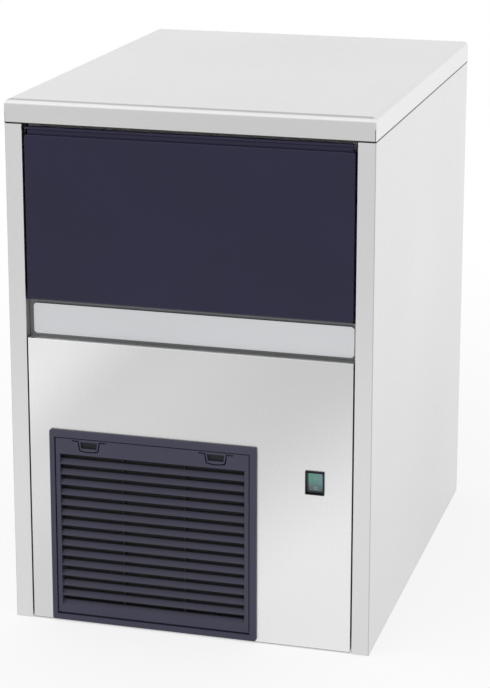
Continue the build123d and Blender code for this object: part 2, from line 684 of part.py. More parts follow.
def louvre_panel():
    """Removable louvre panel with sloping blades, two snap tongues and two pivots."""
    left = OPEN_LEFT + LOUVRE_CLEAR
    right = OPEN_RIGHT - LOUVRE_CLEAR
    low = OPEN_LOW + LOUVRE_FOOT_GAP
    high = OPEN_HIGH - LOUVRE_CLEAR
    slot_left = OPEN_LEFT + SLOT_SIDE
    slot_right = OPEN_RIGHT - SLOT_SIDE
    slot_width = slot_right - slot_left
    first = OPEN_HIGH - SLOT_FIRST_DROP
    last = first - SLOT_COUNT * SLOT_PITCH
    panel = block((left, LOUVRE_FRONT, low), (right, LOUVRE_BACK, high))
    panel = fillet(edges_near(panel, "Y", LOUVRE_FRONT), LOUVRE_EDGE)
    panel -= block((slot_left, LOUVRE_FRONT - 1, last), (slot_right, LOUVRE_BACK + 1, first))
    for slot in range(SLOT_COUNT):
        blade = extrude(Plane.YZ * louvre_section(first - slot * SLOT_PITCH), slot_width + BLADE_THICK)
        panel += Pos(slot_left - BLADE_THICK / 2, 0, 0) * blade
    for x in (slot_left - BLADE_RIB, slot_right):
        panel += block((x, LOUVRE_BACK - LOUVRE_PLATE / 2, last), (x + BLADE_RIB, RIB_BACK, first))
    for share in (1 / 3, 2 / 3):
        x = slot_left + share * slot_width
        panel += block((x, RIB_BACK - BLADE_RIB - BLADE_THICK / 2, last), (x + BLADE_RIB, RIB_BACK, first))
    tongue_top = OPEN_HIGH - TONGUE_DROP
    for place in TONGUE_PLACES:
        slit = tongue_slit(OPEN_LEFT + place, tongue_top)
        finger = finger_shape(OPEN_LEFT + place, tongue_top - TONGUE_SLIT)
        panel -= Pos(0, LOUVRE_BACK + 1, 0) * extrude(Plane.XZ * slit, LOUVRE_PLATE + 2)
        panel -= Pos(0, LOUVRE_FRONT + FINGER_POCKET, 0) * extrude(Plane.XZ * finger, LOUVRE_PLATE)
    for x, s in ((left, -1), (right, 1)):
        panel += rod((x - s * TRUNNION_RADIUS, TRUNNION_Y, TRUNNION_Z), (s, 0, 0), TRUNNION_RADIUS,
                     TRUNNION_RADIUS + LOUVRE_CLEAR + TRUNNION_REACH - FIT_GAP)
    return panel


def air_filter():
    """Washable filter mat in a rim, carried on the back of the louvre panel."""
    left = OPEN_LEFT + SLOT_SIDE + FIT_GAP
    right = OPEN_RIGHT - SLOT_SIDE - FIT_GAP
    first = OPEN_HIGH - SLOT_FIRST_DROP - FIT_GAP
    last = OPEN_HIGH - SLOT_FIRST_DROP - SLOT_COUNT * SLOT_PITCH + FIT_GAP
    back = RIB_BACK + FILTER_THICK
    mat = block((left, RIB_BACK, last), (right, back, first))
    recess = (FILTER_THICK - FILTER_MAT) / 2
    middle = (left + right) / 2
    for y0, y1 in ((RIB_BACK - 1, RIB_BACK + recess), (back - recess, back + 1)):
        for x0, x1 in ((left + FILTER_RIM, middle - FILTER_RIM / 2), (middle + FILTER_RIM / 2, right - FILTER_RIM)):
            mat -= block((x0, y0, last + FILTER_RIM), (x1, y1, first - FILTER_RIM))
    return mat


def switch_body():
    """Black bezel and housing of the rocker switch, with side pivots and three terminals."""
    bezel = Pos(SWITCH_X, SWITCH_HEIGHT) * RectangleRounded(BEZEL_WIDTH, BEZEL_TALL, BEZEL_ROUND)
    body = Pos(0, FRONT, 0) * extrude(Plane.XZ * bezel, BEZEL_THICK)
    body = chamfer(edges_near(body, "Y", FRONT - BEZEL_THICK), BEZEL_THICK / 4)
    body += block((SWITCH_X - SWITCH_WIDTH / 2, FRONT - BEZEL_THICK / 2, SWITCH_HEIGHT - SWITCH_TALL / 2),
                  (SWITCH_X + SWITCH_WIDTH / 2, FRONT + SWITCH_DEPTH, SWITCH_HEIGHT + SWITCH_TALL / 2))
    half_x = ROCKER_WIDTH / 2 + ROCKER_GAP
    half_z = ROCKER_TALL / 2 + ROCKER_GAP
    body -= block((SWITCH_X - half_x, FRONT - 2 * BEZEL_THICK, SWITCH_HEIGHT - half_z),
                  (SWITCH_X + half_x, FRONT + ROCKER_WELL, SWITCH_HEIGHT + half_z))
    for s in (-1, 1):
        body -= rod((SWITCH_X + s * (half_x - 1), FRONT + ROCKER_PIVOT, SWITCH_HEIGHT), (s, 0, 0),
                    ROCKER_PIN + RUNNING_GAP, 1 + ROCKER_PIN_REACH)
    terminal_width = 6.3
    terminal_thick = 0.8
    terminal_length = 8.0
    for z in (-terminal_length, 0, terminal_length):
        level = SWITCH_HEIGHT + z
        body += block((SWITCH_X - terminal_width / 2, FRONT + SWITCH_DEPTH - 1, level - terminal_thick / 2),
                      (SWITCH_X + terminal_width / 2, FRONT + SWITCH_DEPTH + terminal_length,
                       level + terminal_thick / 2))
    return body


def switch_rocker():
    """Translucent rocker, pressed in at the bottom, which turns on two side pins."""
    half_z = ROCKER_TALL / 2
    face = FRONT - BEZEL_THICK + ROCKER_SUNK
    shoulder = FRONT + ROCKER_SHOULDER
    section = make_face(Polyline((face - ROCKER_RISE, SWITCH_HEIGHT + half_z), (face, SWITCH_HEIGHT),
                                 (face + ROCKER_DROP, SWITCH_HEIGHT - half_z), (shoulder, SWITCH_HEIGHT - half_z + 1),
                                 (FRONT + ROCKER_BELLY, SWITCH_HEIGHT), (shoulder, SWITCH_HEIGHT + half_z - 1),
                                 close=True))
    rocker = Pos(SWITCH_X - ROCKER_WIDTH / 2, 0, 0) * extrude(Plane.YZ * section, ROCKER_WIDTH)
    pin = ROCKER_WIDTH / 2 + ROCKER_GAP + ROCKER_PIN_REACH - FIT_GAP / 2
    return rocker + rod((SWITCH_X - pin, FRONT + ROCKER_PIVOT, SWITCH_HEIGHT), (1, 0, 0), ROCKER_PIN, 2 * pin)


def bin_shelf():
    """Folded shelf across the side panels that carries the insulated bin."""
    half = SIDE - SHEET - FIT_GAP
    z = FOAM_LOW - FIT_GAP
    section = bent_sheet([(-half, z - SHELF_FLANGE), (-half, z), (half, z), (half, z - SHELF_FLANGE)],
                         SHELF_SHEET, Side.RIGHT)
    shelf = Pos(0, FOAM_REAR, 0) * extrude(Plane.XZ * section, FOAM_REAR - BIN_FRONT)
    return shelf - rod((DRAIN_X, DRAIN_Y, z - 2 * SHELF_SHEET), (0, 0, 1), DRAIN_RADIUS + 2, 3 * SHELF_SHEET)


def bin_form(grow):
    """Rounded block of the bin's inside, grown by a wall."""
    form = block((-BIN_HALF_WIDTH - grow, BIN_FRONT - grow, BIN_FLOOR - grow),
                 (BIN_HALF_WIDTH + grow, BIN_BACK + grow, BIN_TOP + grow))
    low = edges_near(form, "Z", BIN_FLOOR - grow).sort_by(Axis.Y)[1:]
    rear = edges_near(form, "Y", BIN_BACK + grow).filter_by(Axis.Z)
    return fillet(low + rear, BIN_ROUND + grow)


def spout_passage(y0, y1, gap):
    """Straight space round the ice spout between two depths."""
    return block((COLUMN_X - SPOUT_WIDTH / 2 - gap, y0, SPOUT_LOW - gap),
                 (COLUMN_X + SPOUT_WIDTH / 2 + gap, y1, SPOUT_LOW + SPOUT_TALL + gap))


def bin_liner():
    """Moulded bin, open to the front above the sill, with a flange round its mouth."""
    shell = bin_form(BIN_WALL)
    flange_half = POST_IN - FIT_GAP
    shell += block((-flange_half, BIN_FRONT - BIN_WALL, SILL_TOP + FIT_GAP),
                   (flange_half, BIN_FRONT, BIN_TOP + BIN_WALL))
    shell -= bin_form(0)
    shell -= block((-BIN_HALF_WIDTH, BIN_FRONT - 2 * BIN_WALL, SILL_TOP + BIN_WALL),
                   (BIN_HALF_WIDTH, BIN_FRONT + BIN_WALL, BIN_TOP))
    shell -= spout_passage(BIN_BACK - BIN_WALL, BIN_BACK + 2 * BIN_WALL, FIT_GAP)
    return shell - rod((DRAIN_X, DRAIN_Y, BIN_FLOOR - 2 * BIN_WALL), (0, 0, 1), DRAIN_RADIUS + FIT_GAP, 3 * BIN_WALL)


def bin_insulation():
    """Foam jacket round the sides, floor and back of the bin."""
    half = SIDE - SHEET - FOAM_SIDE_GAP
    foam = block((-half, BIN_FRONT + FIT_GAP, FOAM_LOW), (half, FOAM_REAR, BIN_TOP + BIN_WALL - FIT_GAP))
    foam -= bin_form(BIN_WALL + FIT_GAP)
    foam -= block((-BIN_HALF_WIDTH, BIN_FRONT, BIN_FLOOR + BIN_ROUND + BIN_WALL),
                  (BIN_HALF_WIDTH, BIN_FRONT + BIN_WALL, BIN_TOP + 2 * BIN_WALL))
    foam -= spout_passage(BIN_BACK, FOAM_REAR + 1, FIT_GAP)
    return foam - rod((DRAIN_X, DRAIN_Y, FOAM_LOW - 1), (0, 0, 1), DRAIN_RADIUS + FIT_GAP, FOAM_UNDER + 2)


def bin_drain():
    """Drain fitting with a strainer flange in the bin's floor."""
    flange_radius = 20.0
    flange_thick = 2.0
    holes_circle = 5.5
    hole = 1.6
    floor = BIN_FLOOR + FIT_GAP
    fitting = rod((DRAIN_X, DRAIN_Y, floor), (0, 0, 1), flange_radius, flange_thick)
    fitting += rod((DRAIN_X, DRAIN_Y, DRAIN_END), (0, 0, 1), DRAIN_RADIUS, floor - DRAIN_END + 1)
    fitting -= rod((DRAIN_X, DRAIN_Y, DRAIN_END - 1), (0, 0, 1), DRAIN_RADIUS - DRAIN_WALL, BIN_FLOOR - DRAIN_END)
    for i in range(STRAINER_HOLES):
        place = Vector(holes_circle, 0).rotate(Axis.Z, 360 / STRAINER_HOLES * i)
        fitting -= rod((DRAIN_X + place.X, DRAIN_Y + place.Y, BIN_FLOOR - 5), (0, 0, 1), hole, 10)
    return fitting


def drain_hose():
    """Hose from the bin's drain to the rear spigot."""
    bend = 40.0
    return pipe([(DRAIN_X, DRAIN_Y, DRAIN_END - FIT_GAP), (DRAIN_X, DRAIN_Y, DRAIN_LEVEL),
                 (DRAIN_X, HOSE_END, DRAIN_LEVEL)], bend, DRAIN_RADIUS)


def drain_spigot():
    """Rear drain connection: flanged spigot through the rear panel."""
    flange_thick = 5.0
    flange_lip = 6.0
    start = HOSE_END + FIT_GAP
    end = REAR + FITTING_REACH
    along = (0, 1, 0)
    spigot = rod((DRAIN_X, start, DRAIN_LEVEL), along, DRAIN_RADIUS - FITTING_NECK, end - start)
    spigot += rod((DRAIN_X, REAR + FITTING_LIFT, DRAIN_LEVEL), along, DRAIN_RADIUS, FITTING_REACH - FITTING_LIFT)
    spigot += rod((DRAIN_X, REAR - SHEET - FIT_GAP - flange_thick, DRAIN_LEVEL), along, DRAIN_RADIUS + flange_lip,
                  flange_thick)
    return spigot - rod((DRAIN_X, start - 1, DRAIN_LEVEL), along, DRAIN_RADIUS - DRAIN_WALL, end - start + 2)


def probe_tube():
    """Tube for the bin thermostat's sensor, hanging from a foot on the bin's top."""
    half = PROBE_FOOT / 2
    x = -BIN_HALF_WIDTH + PROBE_FOOT - PROBE_FOOT_THICK
    y = BIN_BACK - PROBE_FOOT - 2
    top = BIN_TOP - FIT_GAP
    low = BIN_TOP - PROBE_LENGTH
    holder = rod((x, y, low), (0, 0, 1), PROBE_RADIUS, top - PROBE_FOOT_THICK - low)
    holder += block((x - half, y - half, top - PROBE_FOOT_THICK), (x + half, y + half, top))
    return holder - rod((x, y, low - 1), (0, 0, 1), PROBE_RADIUS - 1, PROBE_LENGTH - 10)


def condenser():
    """Finned coil: a grooved fin pack between end plates, with return bends."""
    left = COIL_MID_X - COIL_WIDTH / 2
    right = COIL_MID_X + COIL_WIDTH / 2
    top = COIL_LOW + COIL_HEIGHT
    coil = block((left, COIL_FRONT, COIL_LOW), (right, COIL_BACK, top))
    count = int((COIL_WIDTH - FIN_PITCH) // FIN_PITCH)
    first = COIL_MID_X - (count - 1) * FIN_PITCH / 2
    groove = COIL_DEPTH / 3
    for i in range(count):
        x = first + i * FIN_PITCH
        for y0, y1 in ((COIL_FRONT - 1, COIL_FRONT + groove), (COIL_BACK - groove, COIL_BACK + 1)):
            coil -= block((x - FIN_GROOVE / 2, y0, COIL_LOW - 1), (x + FIN_GROOVE / 2, y1, top + 1))
    for x in (left - COIL_PLATE, right):
        coil += block((x, COIL_FRONT - COIL_PLATE_LIP, BASE_SHEET + FIT_GAP),
                      (x + COIL_PLATE, COIL_BACK + COIL_PLATE_LIP, top))
    for row in range(1, COIL_ROWS):
        z = COIL_LOW + COIL_PITCH * row
        face, s = (left - COIL_PLATE, -1) if row % 2 else (right + COIL_PLATE, 1)
        bend = Plane(origin=(face, COIL_MID_Y, z), z_dir=(0, 1, 0)) * Torus(COIL_PITCH / 2, COIL_TUBE)
        coil += bend & block((min(face, face + s * COIL_PITCH), COIL_MID_Y - COIL_PITCH, z - COIL_PITCH),
                             (max(face, face + s * COIL_PITCH), COIL_MID_Y + COIL_PITCH, z + COIL_PITCH))
    return coil


def coil_port(row):
    """Where a pipe meets the coil's right end at one row of tubes."""
    return COIL_MID_X + COIL_WIDTH / 2 + COIL_PLATE + FIT_GAP, COIL_MID_Y, COIL_LOW + COIL_PITCH * (row + 0.5)


def fan_shroud():
    """Folded plate behind the coil with a drawn ring round the fan."""
    half = COIL_WIDTH / 2 + COIL_PLATE_LIP
    back = SHROUD_FRONT + SHROUD_DEPTH
    top = COIL_LOW + COIL_HEIGHT
    shroud = block((COIL_MID_X - half, SHROUD_FRONT, BASE_SHEET + FIT_GAP), (COIL_MID_X + half, back, top))
    shroud -= block((COIL_MID_X - half + SHELF_SHEET, SHROUD_FRONT - 1, COIL_LOW),
                    (COIL_MID_X + half - SHELF_SHEET, back - SHELF_SHEET, top - SHELF_SHEET))
    ring = FAN_RADIUS + FAN_TIP_GAP
    shroud += rod((COIL_MID_X, back - SHELF_SHEET, FAN_Z), (0, 1, 0), ring + SHELF_SHEET, SHROUD_RING)
    return shroud - rod((COIL_MID_X, SHROUD_FRONT - 1, FAN_Z), (0, 1, 0), ring, SHROUD_DEPTH + SHROUD_RING + 2)


def fan_blade():
    """Axial fan: hub with pitched blades cut to a round tip."""
    thick = 2.0
    chord = 52.0
    pitch_angle = 24.0
    root = 6.0
    hub = Cylinder(FAN_HUB, FAN_DEPTH, align=ON_FLOOR)
    fan = fillet(hub.edges().sort_by(Axis.Z)[0], 4)
    reach = FAN_RADIUS - FAN_HUB + root
    blade = Pos(FAN_RADIUS - reach / 2, 0, FAN_DEPTH / 2) * Rot(pitch_angle, 0, 0) * Box(reach + root, chord, thick)
    blade &= Cylinder(FAN_RADIUS, 3 * FAN_DEPTH)
    for i in range(FAN_BLADES):
        fan += Rot(0, 0, 360 / FAN_BLADES * i) * blade
    fan -= Pos(0, 0, FAN_DEPTH / 3) * Cylinder(FAN_SHAFT, FAN_DEPTH, align=ON_FLOOR)
    return Plane(origin=(COIL_MID_X, FAN_FRONT, FAN_Z), x_dir=(1, 0, 0), z_dir=(0, 1, 0)) * fan


def fan_motor():
    """Fan motor with its shaft and rear boss."""
    along = (0, 1, 0)
    boss = 6.0
    start = FAN_MOTOR_FRONT
    motor = rod((COIL_MID_X, start, FAN_Z), along, FAN_MOTOR_RADIUS, FAN_MOTOR_LENGTH)
    motor = fillet(motor.edges().filter_by(GeomType.CIRCLE), boss)
    motor += rod((COIL_MID_X, start - FAN_MOTOR_GAP + 1, FAN_Z), along, FAN_BOSS, FAN_MOTOR_GAP)
    shaft = FAN_FRONT + FAN_DEPTH / 3 + FIT_GAP
    motor += rod((COIL_MID_X, shaft, FAN_Z), along, FAN_SHAFT - RUNNING_GAP, start - shaft + 1)
    return motor + rod((COIL_MID_X, start + FAN_MOTOR_LENGTH - 1, FAN_Z), along, FAN_BOSS - FIT_GAP, boss + 1)


def fan_bracket():
    """Angle bracket from the base pan that carries the fan motor."""
    face = FAN_MOTOR_FRONT + FAN_MOTOR_LENGTH + FIT_GAP
    half = 34.0
    foot = 40.0
    thick = 2.0
    low = BASE_SHEET + FIT_GAP / 3
    section = bent_sheet([(face + foot, low), (face, low), (face, FAN_Z + half)], thick, Side.RIGHT)
    bracket = Pos(COIL_MID_X - half, 0, 0) * extrude(Plane.YZ * section, 2 * half)
    bracket = fillet(bracket.edges().filter_by(Axis.Y).sort_by(Axis.Z)[-2:], half / 2)
    return bracket - rod((COIL_MID_X, face - 1, FAN_Z), (0, 1, 0), FAN_BOSS, 2 * thick)


def compressor_feet():
    """Centres of the compressor's four rubber feet."""
    return [(COMPRESSOR_X + sx * FOOT_LONG, COMPRESSOR_Y + sy * FOOT_SHORT) for sx in (-1, 1) for sy in (-1, 1)]


def compressor():
    """Hermetic compressor: domed two-part shell with a weld rim, on a pressed foot plate."""
    weld_height = 98.0
    weld_thick = 5.0
    dome = 34.0
    belly = 20.0
    plate_edge = 20.0
    plate_corner = 22.0
    sheet = 3.0
    long = 2 * (FOOT_LONG + GROMMET_RADIUS) + 2
    short = 2 * (FOOT_SHORT + GROMMET_RADIUS) + 2
    shell = Pos(0, 0, SHELL_FOOT) * extrude(Ellipse(COMPRESSOR_LONG - SHELL_RIM, COMPRESSOR_SHORT - SHELL_RIM),
                                            COMPRESSOR_TALL - SHELL_FOOT)
    shell = fillet(edges_near(shell, "Z", COMPRESSOR_TALL), dome)
    shell = fillet(edges_near(shell, "Z", SHELL_FOOT), belly)
    shell += Pos(0, 0, weld_height) * extrude(Ellipse(COMPRESSOR_LONG, COMPRESSOR_SHORT), weld_thick)
    inside = RectangleRounded(long - 2 * plate_edge, short - 2 * plate_edge, plate_corner - sheet)
    plate = extrude(RectangleRounded(long, short, plate_corner), FOOT_PLATE)
    shell += plate - Pos(0, 0, sheet) * extrude(inside, FOOT_PLATE)
    shell = Pos(COMPRESSOR_X, COMPRESSOR_Y, SHELL_LOW) * shell
    for x, y in compressor_feet():
        shell -= rod((x, y, SHELL_LOW - 1), (0, 0, 1), GROMMET_NECK + FIT_GAP, FOOT_PLATE + 2)
    return shell


def compressor_grommets():
    """Rubber feet under the compressor."""
    group = []
    for x, y in compressor_feet():
        foot = rod((x, y, BASE_SHEET), (0, 0, 1), GROMMET_RADIUS, GROMMET_HEIGHT)
        foot = chamfer(foot.edges().sort_by(Axis.Z)[-1], 2)
        foot += rod((x, y, SHELL_LOW - 1), (0, 0, 1), GROMMET_NECK, FOOT_PLATE + 2)
        foot -= rod((x, y, 0), (0, 0, 1), FOOT_BOLT + FIT_GAP, 2 * SHELL_LOW + FOOT_PLATE)
        group.append(foot)
    return Compound(children=group)


def compressor_bolts():
    """Bolts with washers through the rubber feet."""
    washer = 10.0
    washer_thick = 1.6
    head = 7.5
    head_height = 5.5
    seat = SHELL_LOW + FOOT_PLATE + 1 + FIT_GAP
    group = []
    for x, y in compressor_feet():
        bolt = rod((x, y, BASE_SHEET), (0, 0, 1), FOOT_BOLT, seat - BASE_SHEET + 1)
        bolt += rod((x, y, seat), (0, 0, 1), washer, washer_thick)
        bolt += Pos(x, y, seat + washer_thick) * extrude(RegularPolygon(head, 6), head_height)
        group.append(bolt)
    return Compound(children=group)


def terminal_cover():
    """Snap cover over the compressor's terminals and starter."""
    half = 32.0
    reach = 26.0
    low = SHELL_LOW + 30
    tall = 62.0
    corner = 5.0
    cover = block((COMPRESSOR_X - half, COMPRESSOR_Y - COMPRESSOR_SHORT - reach, low),
                  (COMPRESSOR_X + half, COMPRESSOR_Y - COMPRESSOR_SHORT / 2, low + tall))
    cover = fillet(cover.edges().group_by(Axis.Y)[0], corner)
    shell = Ellipse(COMPRESSOR_LONG - SHELL_RIM + FIT_GAP, COMPRESSOR_SHORT - SHELL_RIM + FIT_GAP)
    return cover - Pos(COMPRESSOR_X, COMPRESSOR_Y, SHELL_LOW) * extrude(shell, COMPRESSOR_TALL)


def filter_drier():
    """Spun copper drier with the pipe brazed into it from the coil's lowest tube."""
    radius = 10.0
    neck = 4.0
    neck_length = 12.0
    cone = 10.0
    bend = 10.0
    end = DRIER_LENGTH
    profile = make_face(Polyline((0, 0), (neck, 0), (neck, neck_length), (radius, neck_length + cone),
                                 (radius, end - neck_length - cone), (neck, end - neck_length), (neck, end),
                                 (0, end), close=True))
    x, y, z = coil_port(0)
    start = COIL_BACK + DRIER_SETBACK
    drier = Plane(origin=(LIQUID_X, start, z), z_dir=(0, 1, 0)) * revolve(Plane.XZ * profile, Axis.Z)
    return drier + pipe([(x, y, z), (LIQUID_X, y, z), (LIQUID_X, start + 1, z)], bend, LINE_PIPE)


def liquid_pipe():
    """Liquid pipe from the drier up to the freezer barrel."""
    bend = 12.0
    z = coil_port(0)[2]
    start = COIL_BACK + DRIER_SETBACK + DRIER_LENGTH + FIT_GAP
    riser_y = FOAM_REAR + 5
    riser_x = COMPRESSOR_X + LIQUID_SIDE
    top = BARREL_LOW + 22
    return pipe([(LIQUID_X, start, z), (LIQUID_X, riser_y - 30, z), (riser_x, riser_y, z), (riser_x, riser_y, top),
                 (COLUMN_X, riser_y, top), (COLUMN_X, COLUMN_Y - SLEEVE_RADIUS - FIT_GAP, top)], bend, LINE_PIPE)


def discharge_pipe():
    """Hot gas pipe from the compressor's top to the coil's highest tube."""
    bend = 9.0
    x = COMPRESSOR_X - DISCHARGE_SIDE
    low = SHELL_LOW + COMPRESSOR_TALL + FIT_GAP
    end, y, run = coil_port(COIL_ROWS - 1)
    lane = LIQUID_X + 14
    return pipe([(x, COMPRESSOR_Y, low), (x, COMPRESSOR_Y, run), (x, FOAM_REAR, run), (lane, BIN_BACK, run),
                 (lane, y, run), (end, y, run)], bend, LINE_PIPE)


def suction_pipe():
    """Return pipe from the barrel's upper end down to the compressor's back."""
    bend = 9.0
    lane = REAR - SHEET - 3 * SUCTION_RADIUS
    top = BARREL_TOP - 24
    low = SHELL_LOW + SUCTION_LIFT
    return pipe([(COLUMN_X, COLUMN_Y + SLEEVE_RADIUS + FIT_GAP, top), (COLUMN_X, lane, top), (COLUMN_X, lane, low),
                 (COMPRESSOR_X, COMPRESSOR_Y + COMPRESSOR_SHORT + FIT_GAP, low)], bend, SUCTION_RADIUS)


def machine_stand():
    """Folded stand on the base pan under the gearbox."""
    right = SIDE - SHEET - FIT_GAP
    left = right - STAND_REACH
    low = 2 * BASE_SHEET + FIT_GAP / 3
    top = STAND_HEIGHT + BASE_SHEET
    section = bent_sheet([(left - STAND_FOOT, low), (left, low), (left, top), (right, top),
                          (right, top - STAND_FOOT)], BASE_SHEET, Side.LEFT)
    return Pos(0, COLUMN_Y + STAND_DEPTH / 2, 0) * extrude(Plane.XZ * section, STAND_DEPTH)


def gearbox():
    """Cast gearbox with feet, a top seat and an output socket."""
    corner = 14.0
    edge = 4.0
    foot_long = 132.0
    foot_short = 112.0
    foot_thick = 8.0
    bolt_inset = 8.0
    bolt_hole = 4.3
    socket = 30.0
    middle = Pos(COLUMN_X, COLUMN_Y, GEARBOX_LOW)
    box = middle * extrude(RectangleRounded(GEARBOX_LONG, GEARBOX_SHORT, corner), GEARBOX_TALL)
    box = fillet(edges_near(box, "Z", GEARBOX_LOW + GEARBOX_TALL), edge)
    box += middle * extrude(RectangleRounded(foot_long, foot_short, corner - edge), foot_thick)
    for sx in (-1, 1):
        for sy in (-1, 1):
            box -= rod((COLUMN_X + sx * (foot_long / 2 - bolt_inset), COLUMN_Y + sy * (foot_short / 2 - bolt_inset),
                        GEARBOX_LOW - 1), (0, 0, 1), bolt_hole, foot_thick + 2)
    return box - rod((COLUMN_X, COLUMN_Y, GEARBOX_LOW + GEARBOX_TALL - socket), (0, 0, 1), DRIVE_SHAFT + RUNNING_GAP,
                     socket + 1)


def drive_motor():
    """Gearmotor's motor: ribbed barrel and end cap on the gearbox's side."""
    radius = 28.0
    length = 104.0
    groove_pitch = 10.0
    groove_depth = 3.0
    first_groove = 16.0
    start = COLUMN_X - GEARBOX_LONG / 2 - FIT_GAP
    z = GEARBOX_LOW + GEARBOX_TALL / 2 + 5
    motor = rod((start, COLUMN_Y, z), (-1, 0, 0), radius, length)
    motor = fillet(motor.edges().sort_by(Axis.X)[0], 8)
    for i in range(MOTOR_GROOVES):
        x = start - first_groove - i * groove_pitch
        motor -= tube((x, COLUMN_Y, z), (-1, 0, 0), radius + 1, radius - groove_depth, groove_pitch / 2)
    return motor


def bearing_housing():
    """Lower bearing housing between gearbox and barrel, with the water inlet stub."""
    flange = 8.0
    housing = rod((COLUMN_X, COLUMN_Y, BEARING_LOW), (0, 0, 1), BEARING_RADIUS, BEARING_TALL)
    housing += rod((COLUMN_X, COLUMN_Y, BEARING_LOW + BEARING_TALL - flange), (0, 0, 1), BARREL_FLANGE, flange)
    housing += rod((COLUMN_X, COLUMN_Y, BEARING_LOW + STUB_LIFT), (-1, 0, 0), STUB_RADIUS, STUB_REACH)
    return housing - rod((COLUMN_X, COLUMN_Y, BEARING_LOW - 1), (0, 0, 1), AUGER_SHAFT + RUNNING_GAP,
                         BEARING_TALL + 2)


def freezer_barrel():
    """Stainless freezing barrel with a bored inside and end flanges."""
    barrel = rod((COLUMN_X, COLUMN_Y, BARREL_LOW), (0, 0, 1), BARREL_RADIUS, BARREL_TALL)
    for z in (BARREL_LOW, BARREL_TOP - BARREL_FLANGE_THICK):
        barrel += rod((COLUMN_X, COLUMN_Y, z), (0, 0, 1), BARREL_FLANGE, BARREL_FLANGE_THICK)
    return barrel - rod((COLUMN_X, COLUMN_Y, BARREL_LOW - 1), (0, 0, 1), BARREL_BORE, BARREL_TALL + 2)


def barrel_insulation():
    """Foam sleeve round the barrel between its flanges."""
    low = BARREL_LOW + BARREL_FLANGE_THICK + FIT_GAP
    return tube((COLUMN_X, COLUMN_Y, low), (0, 0, 1), SLEEVE_RADIUS, BARREL_RADIUS + FIT_GAP,
                BARREL_TALL - 2 * BARREL_FLANGE_THICK - 2 * FIT_GAP)


def flight():
    """Helical flight of the auger as a twisted ring sector."""
    outer = BARREL_BORE - AUGER_TIP_GAP
    inner = AUGER_SHAFT - 1
    half = math.radians(FLIGHT_HALF_ANGLE)
    co, si = math.cos(half), math.sin(half)
    section = make_face(Line((inner * co, -inner * si), (outer * co, -outer * si))
                        + ThreePointArc((outer * co, -outer * si), (outer, 0), (outer * co, outer * si))
                        + Line((outer * co, outer * si), (inner * co, inner * si))
                        + ThreePointArc((inner * co, inner * si), (inner, 0), (inner * co, -inner * si)))
    tall = BARREL_TALL - 2 * AUGER_END_GAP
    return Solid.extrude_linear_with_rotation(section.face(), (0, 0, 0), (0, 0, tall), 360 * tall / AUGER_PITCH)


def auger():
    """Ice auger: shaft with journals and one helical flight."""
    journal = 26.0
    top = HEAD_TOP - 14
    shaft = Pos(0, 0, BEARING_LOW - journal) * Cylinder(DRIVE_SHAFT, journal + 4, align=ON_FLOOR)
    shaft += Pos(0, 0, BEARING_LOW + FIT_GAP) * Cylinder(AUGER_SHAFT, top - BEARING_LOW, align=ON_FLOOR)
    shaft += Pos(0, 0, BARREL_LOW + AUGER_END_GAP) * flight()
    return Pos(COLUMN_X, COLUMN_Y, 0) * shaft


def ice_breaker():
    """Fixed breaker disc on the barrel, with slots that crush the rising ice."""
    slot_circle = 20.5
    slot_long = 13.0
    slot_wide = 8.0
    disc = rod((0, 0, 0), (0, 0, 1), BARREL_FLANGE, BREAKER_TALL)
    disc -= rod((0, 0, -1), (0, 0, 1), AUGER_SHAFT + RUNNING_GAP, BREAKER_TALL + 2)
    slot = Pos(slot_circle, 0, -1) * extrude(SlotOverall(slot_long, slot_wide), BREAKER_TALL + 2)
    for i in range(BREAKER_SLOTS):
        disc -= Rot(0, 0, 360 / BREAKER_SLOTS * i) * slot
    return Pos(COLUMN_X, COLUMN_Y, BARREL_TOP) * disc


def ice_head():
    """Outlet head over the barrel, open on one side towards the bin."""
    bush_radius = 16.0
    bush_drop = 16.0
    bore_depth = 9.0
    head = rod((COLUMN_X, COLUMN_Y, HEAD_LOW), (0, 0, 1), BARREL_FLANGE, HEAD_TALL)
    head = fillet(edges_near(head, "Z", HEAD_TOP), HEAD_WALL)
    inside = BARREL_FLANGE - HEAD_WALL
    head -= rod((COLUMN_X, COLUMN_Y, HEAD_LOW - 1), (0, 0, 1), inside, HEAD_TALL - HEAD_WALL + 1)
    head += rod((COLUMN_X, COLUMN_Y, HEAD_TOP - bush_drop), (0, 0, 1), bush_radius, bush_drop - HEAD_WALL + 1)
    head -= rod((COLUMN_X, COLUMN_Y, HEAD_TOP - bush_drop - 1), (0, 0, 1), AUGER_SHAFT + RUNNING_GAP, bore_depth - 1)
    half = SPOUT_WIDTH / 2 - SPOUT_WALL
    return head - block((COLUMN_X - half, COLUMN_Y - 2 * BARREL_FLANGE, SPOUT_LOW + SPOUT_WALL),
                        (COLUMN_X + half, COLUMN_Y, SPOUT_LOW + SPOUT_TALL - SPOUT_WALL))


def ice_sweeper():
    """Two-armed sweeper on the auger's top that pushes ice into the spout."""
    hub = 15.0
    hub_tall = 24.0
    arm_half = 3.0
    arm_tall = 22.0
    reach = BARREL_FLANGE - HEAD_WALL - 2
    sweeper = rod((0, 0, 0), (0, 0, 1), hub, hub_tall)
    sweeper += block((-reach, -arm_half, 0), (reach, arm_half, arm_tall)) & Cylinder(reach, 2 * reach)
    sweeper -= rod((0, 0, -1), (0, 0, 1), AUGER_SHAFT + RUNNING_GAP, hub_tall + 2)
    return Pos(COLUMN_X, COLUMN_Y, HEAD_LOW + 1) * sweeper


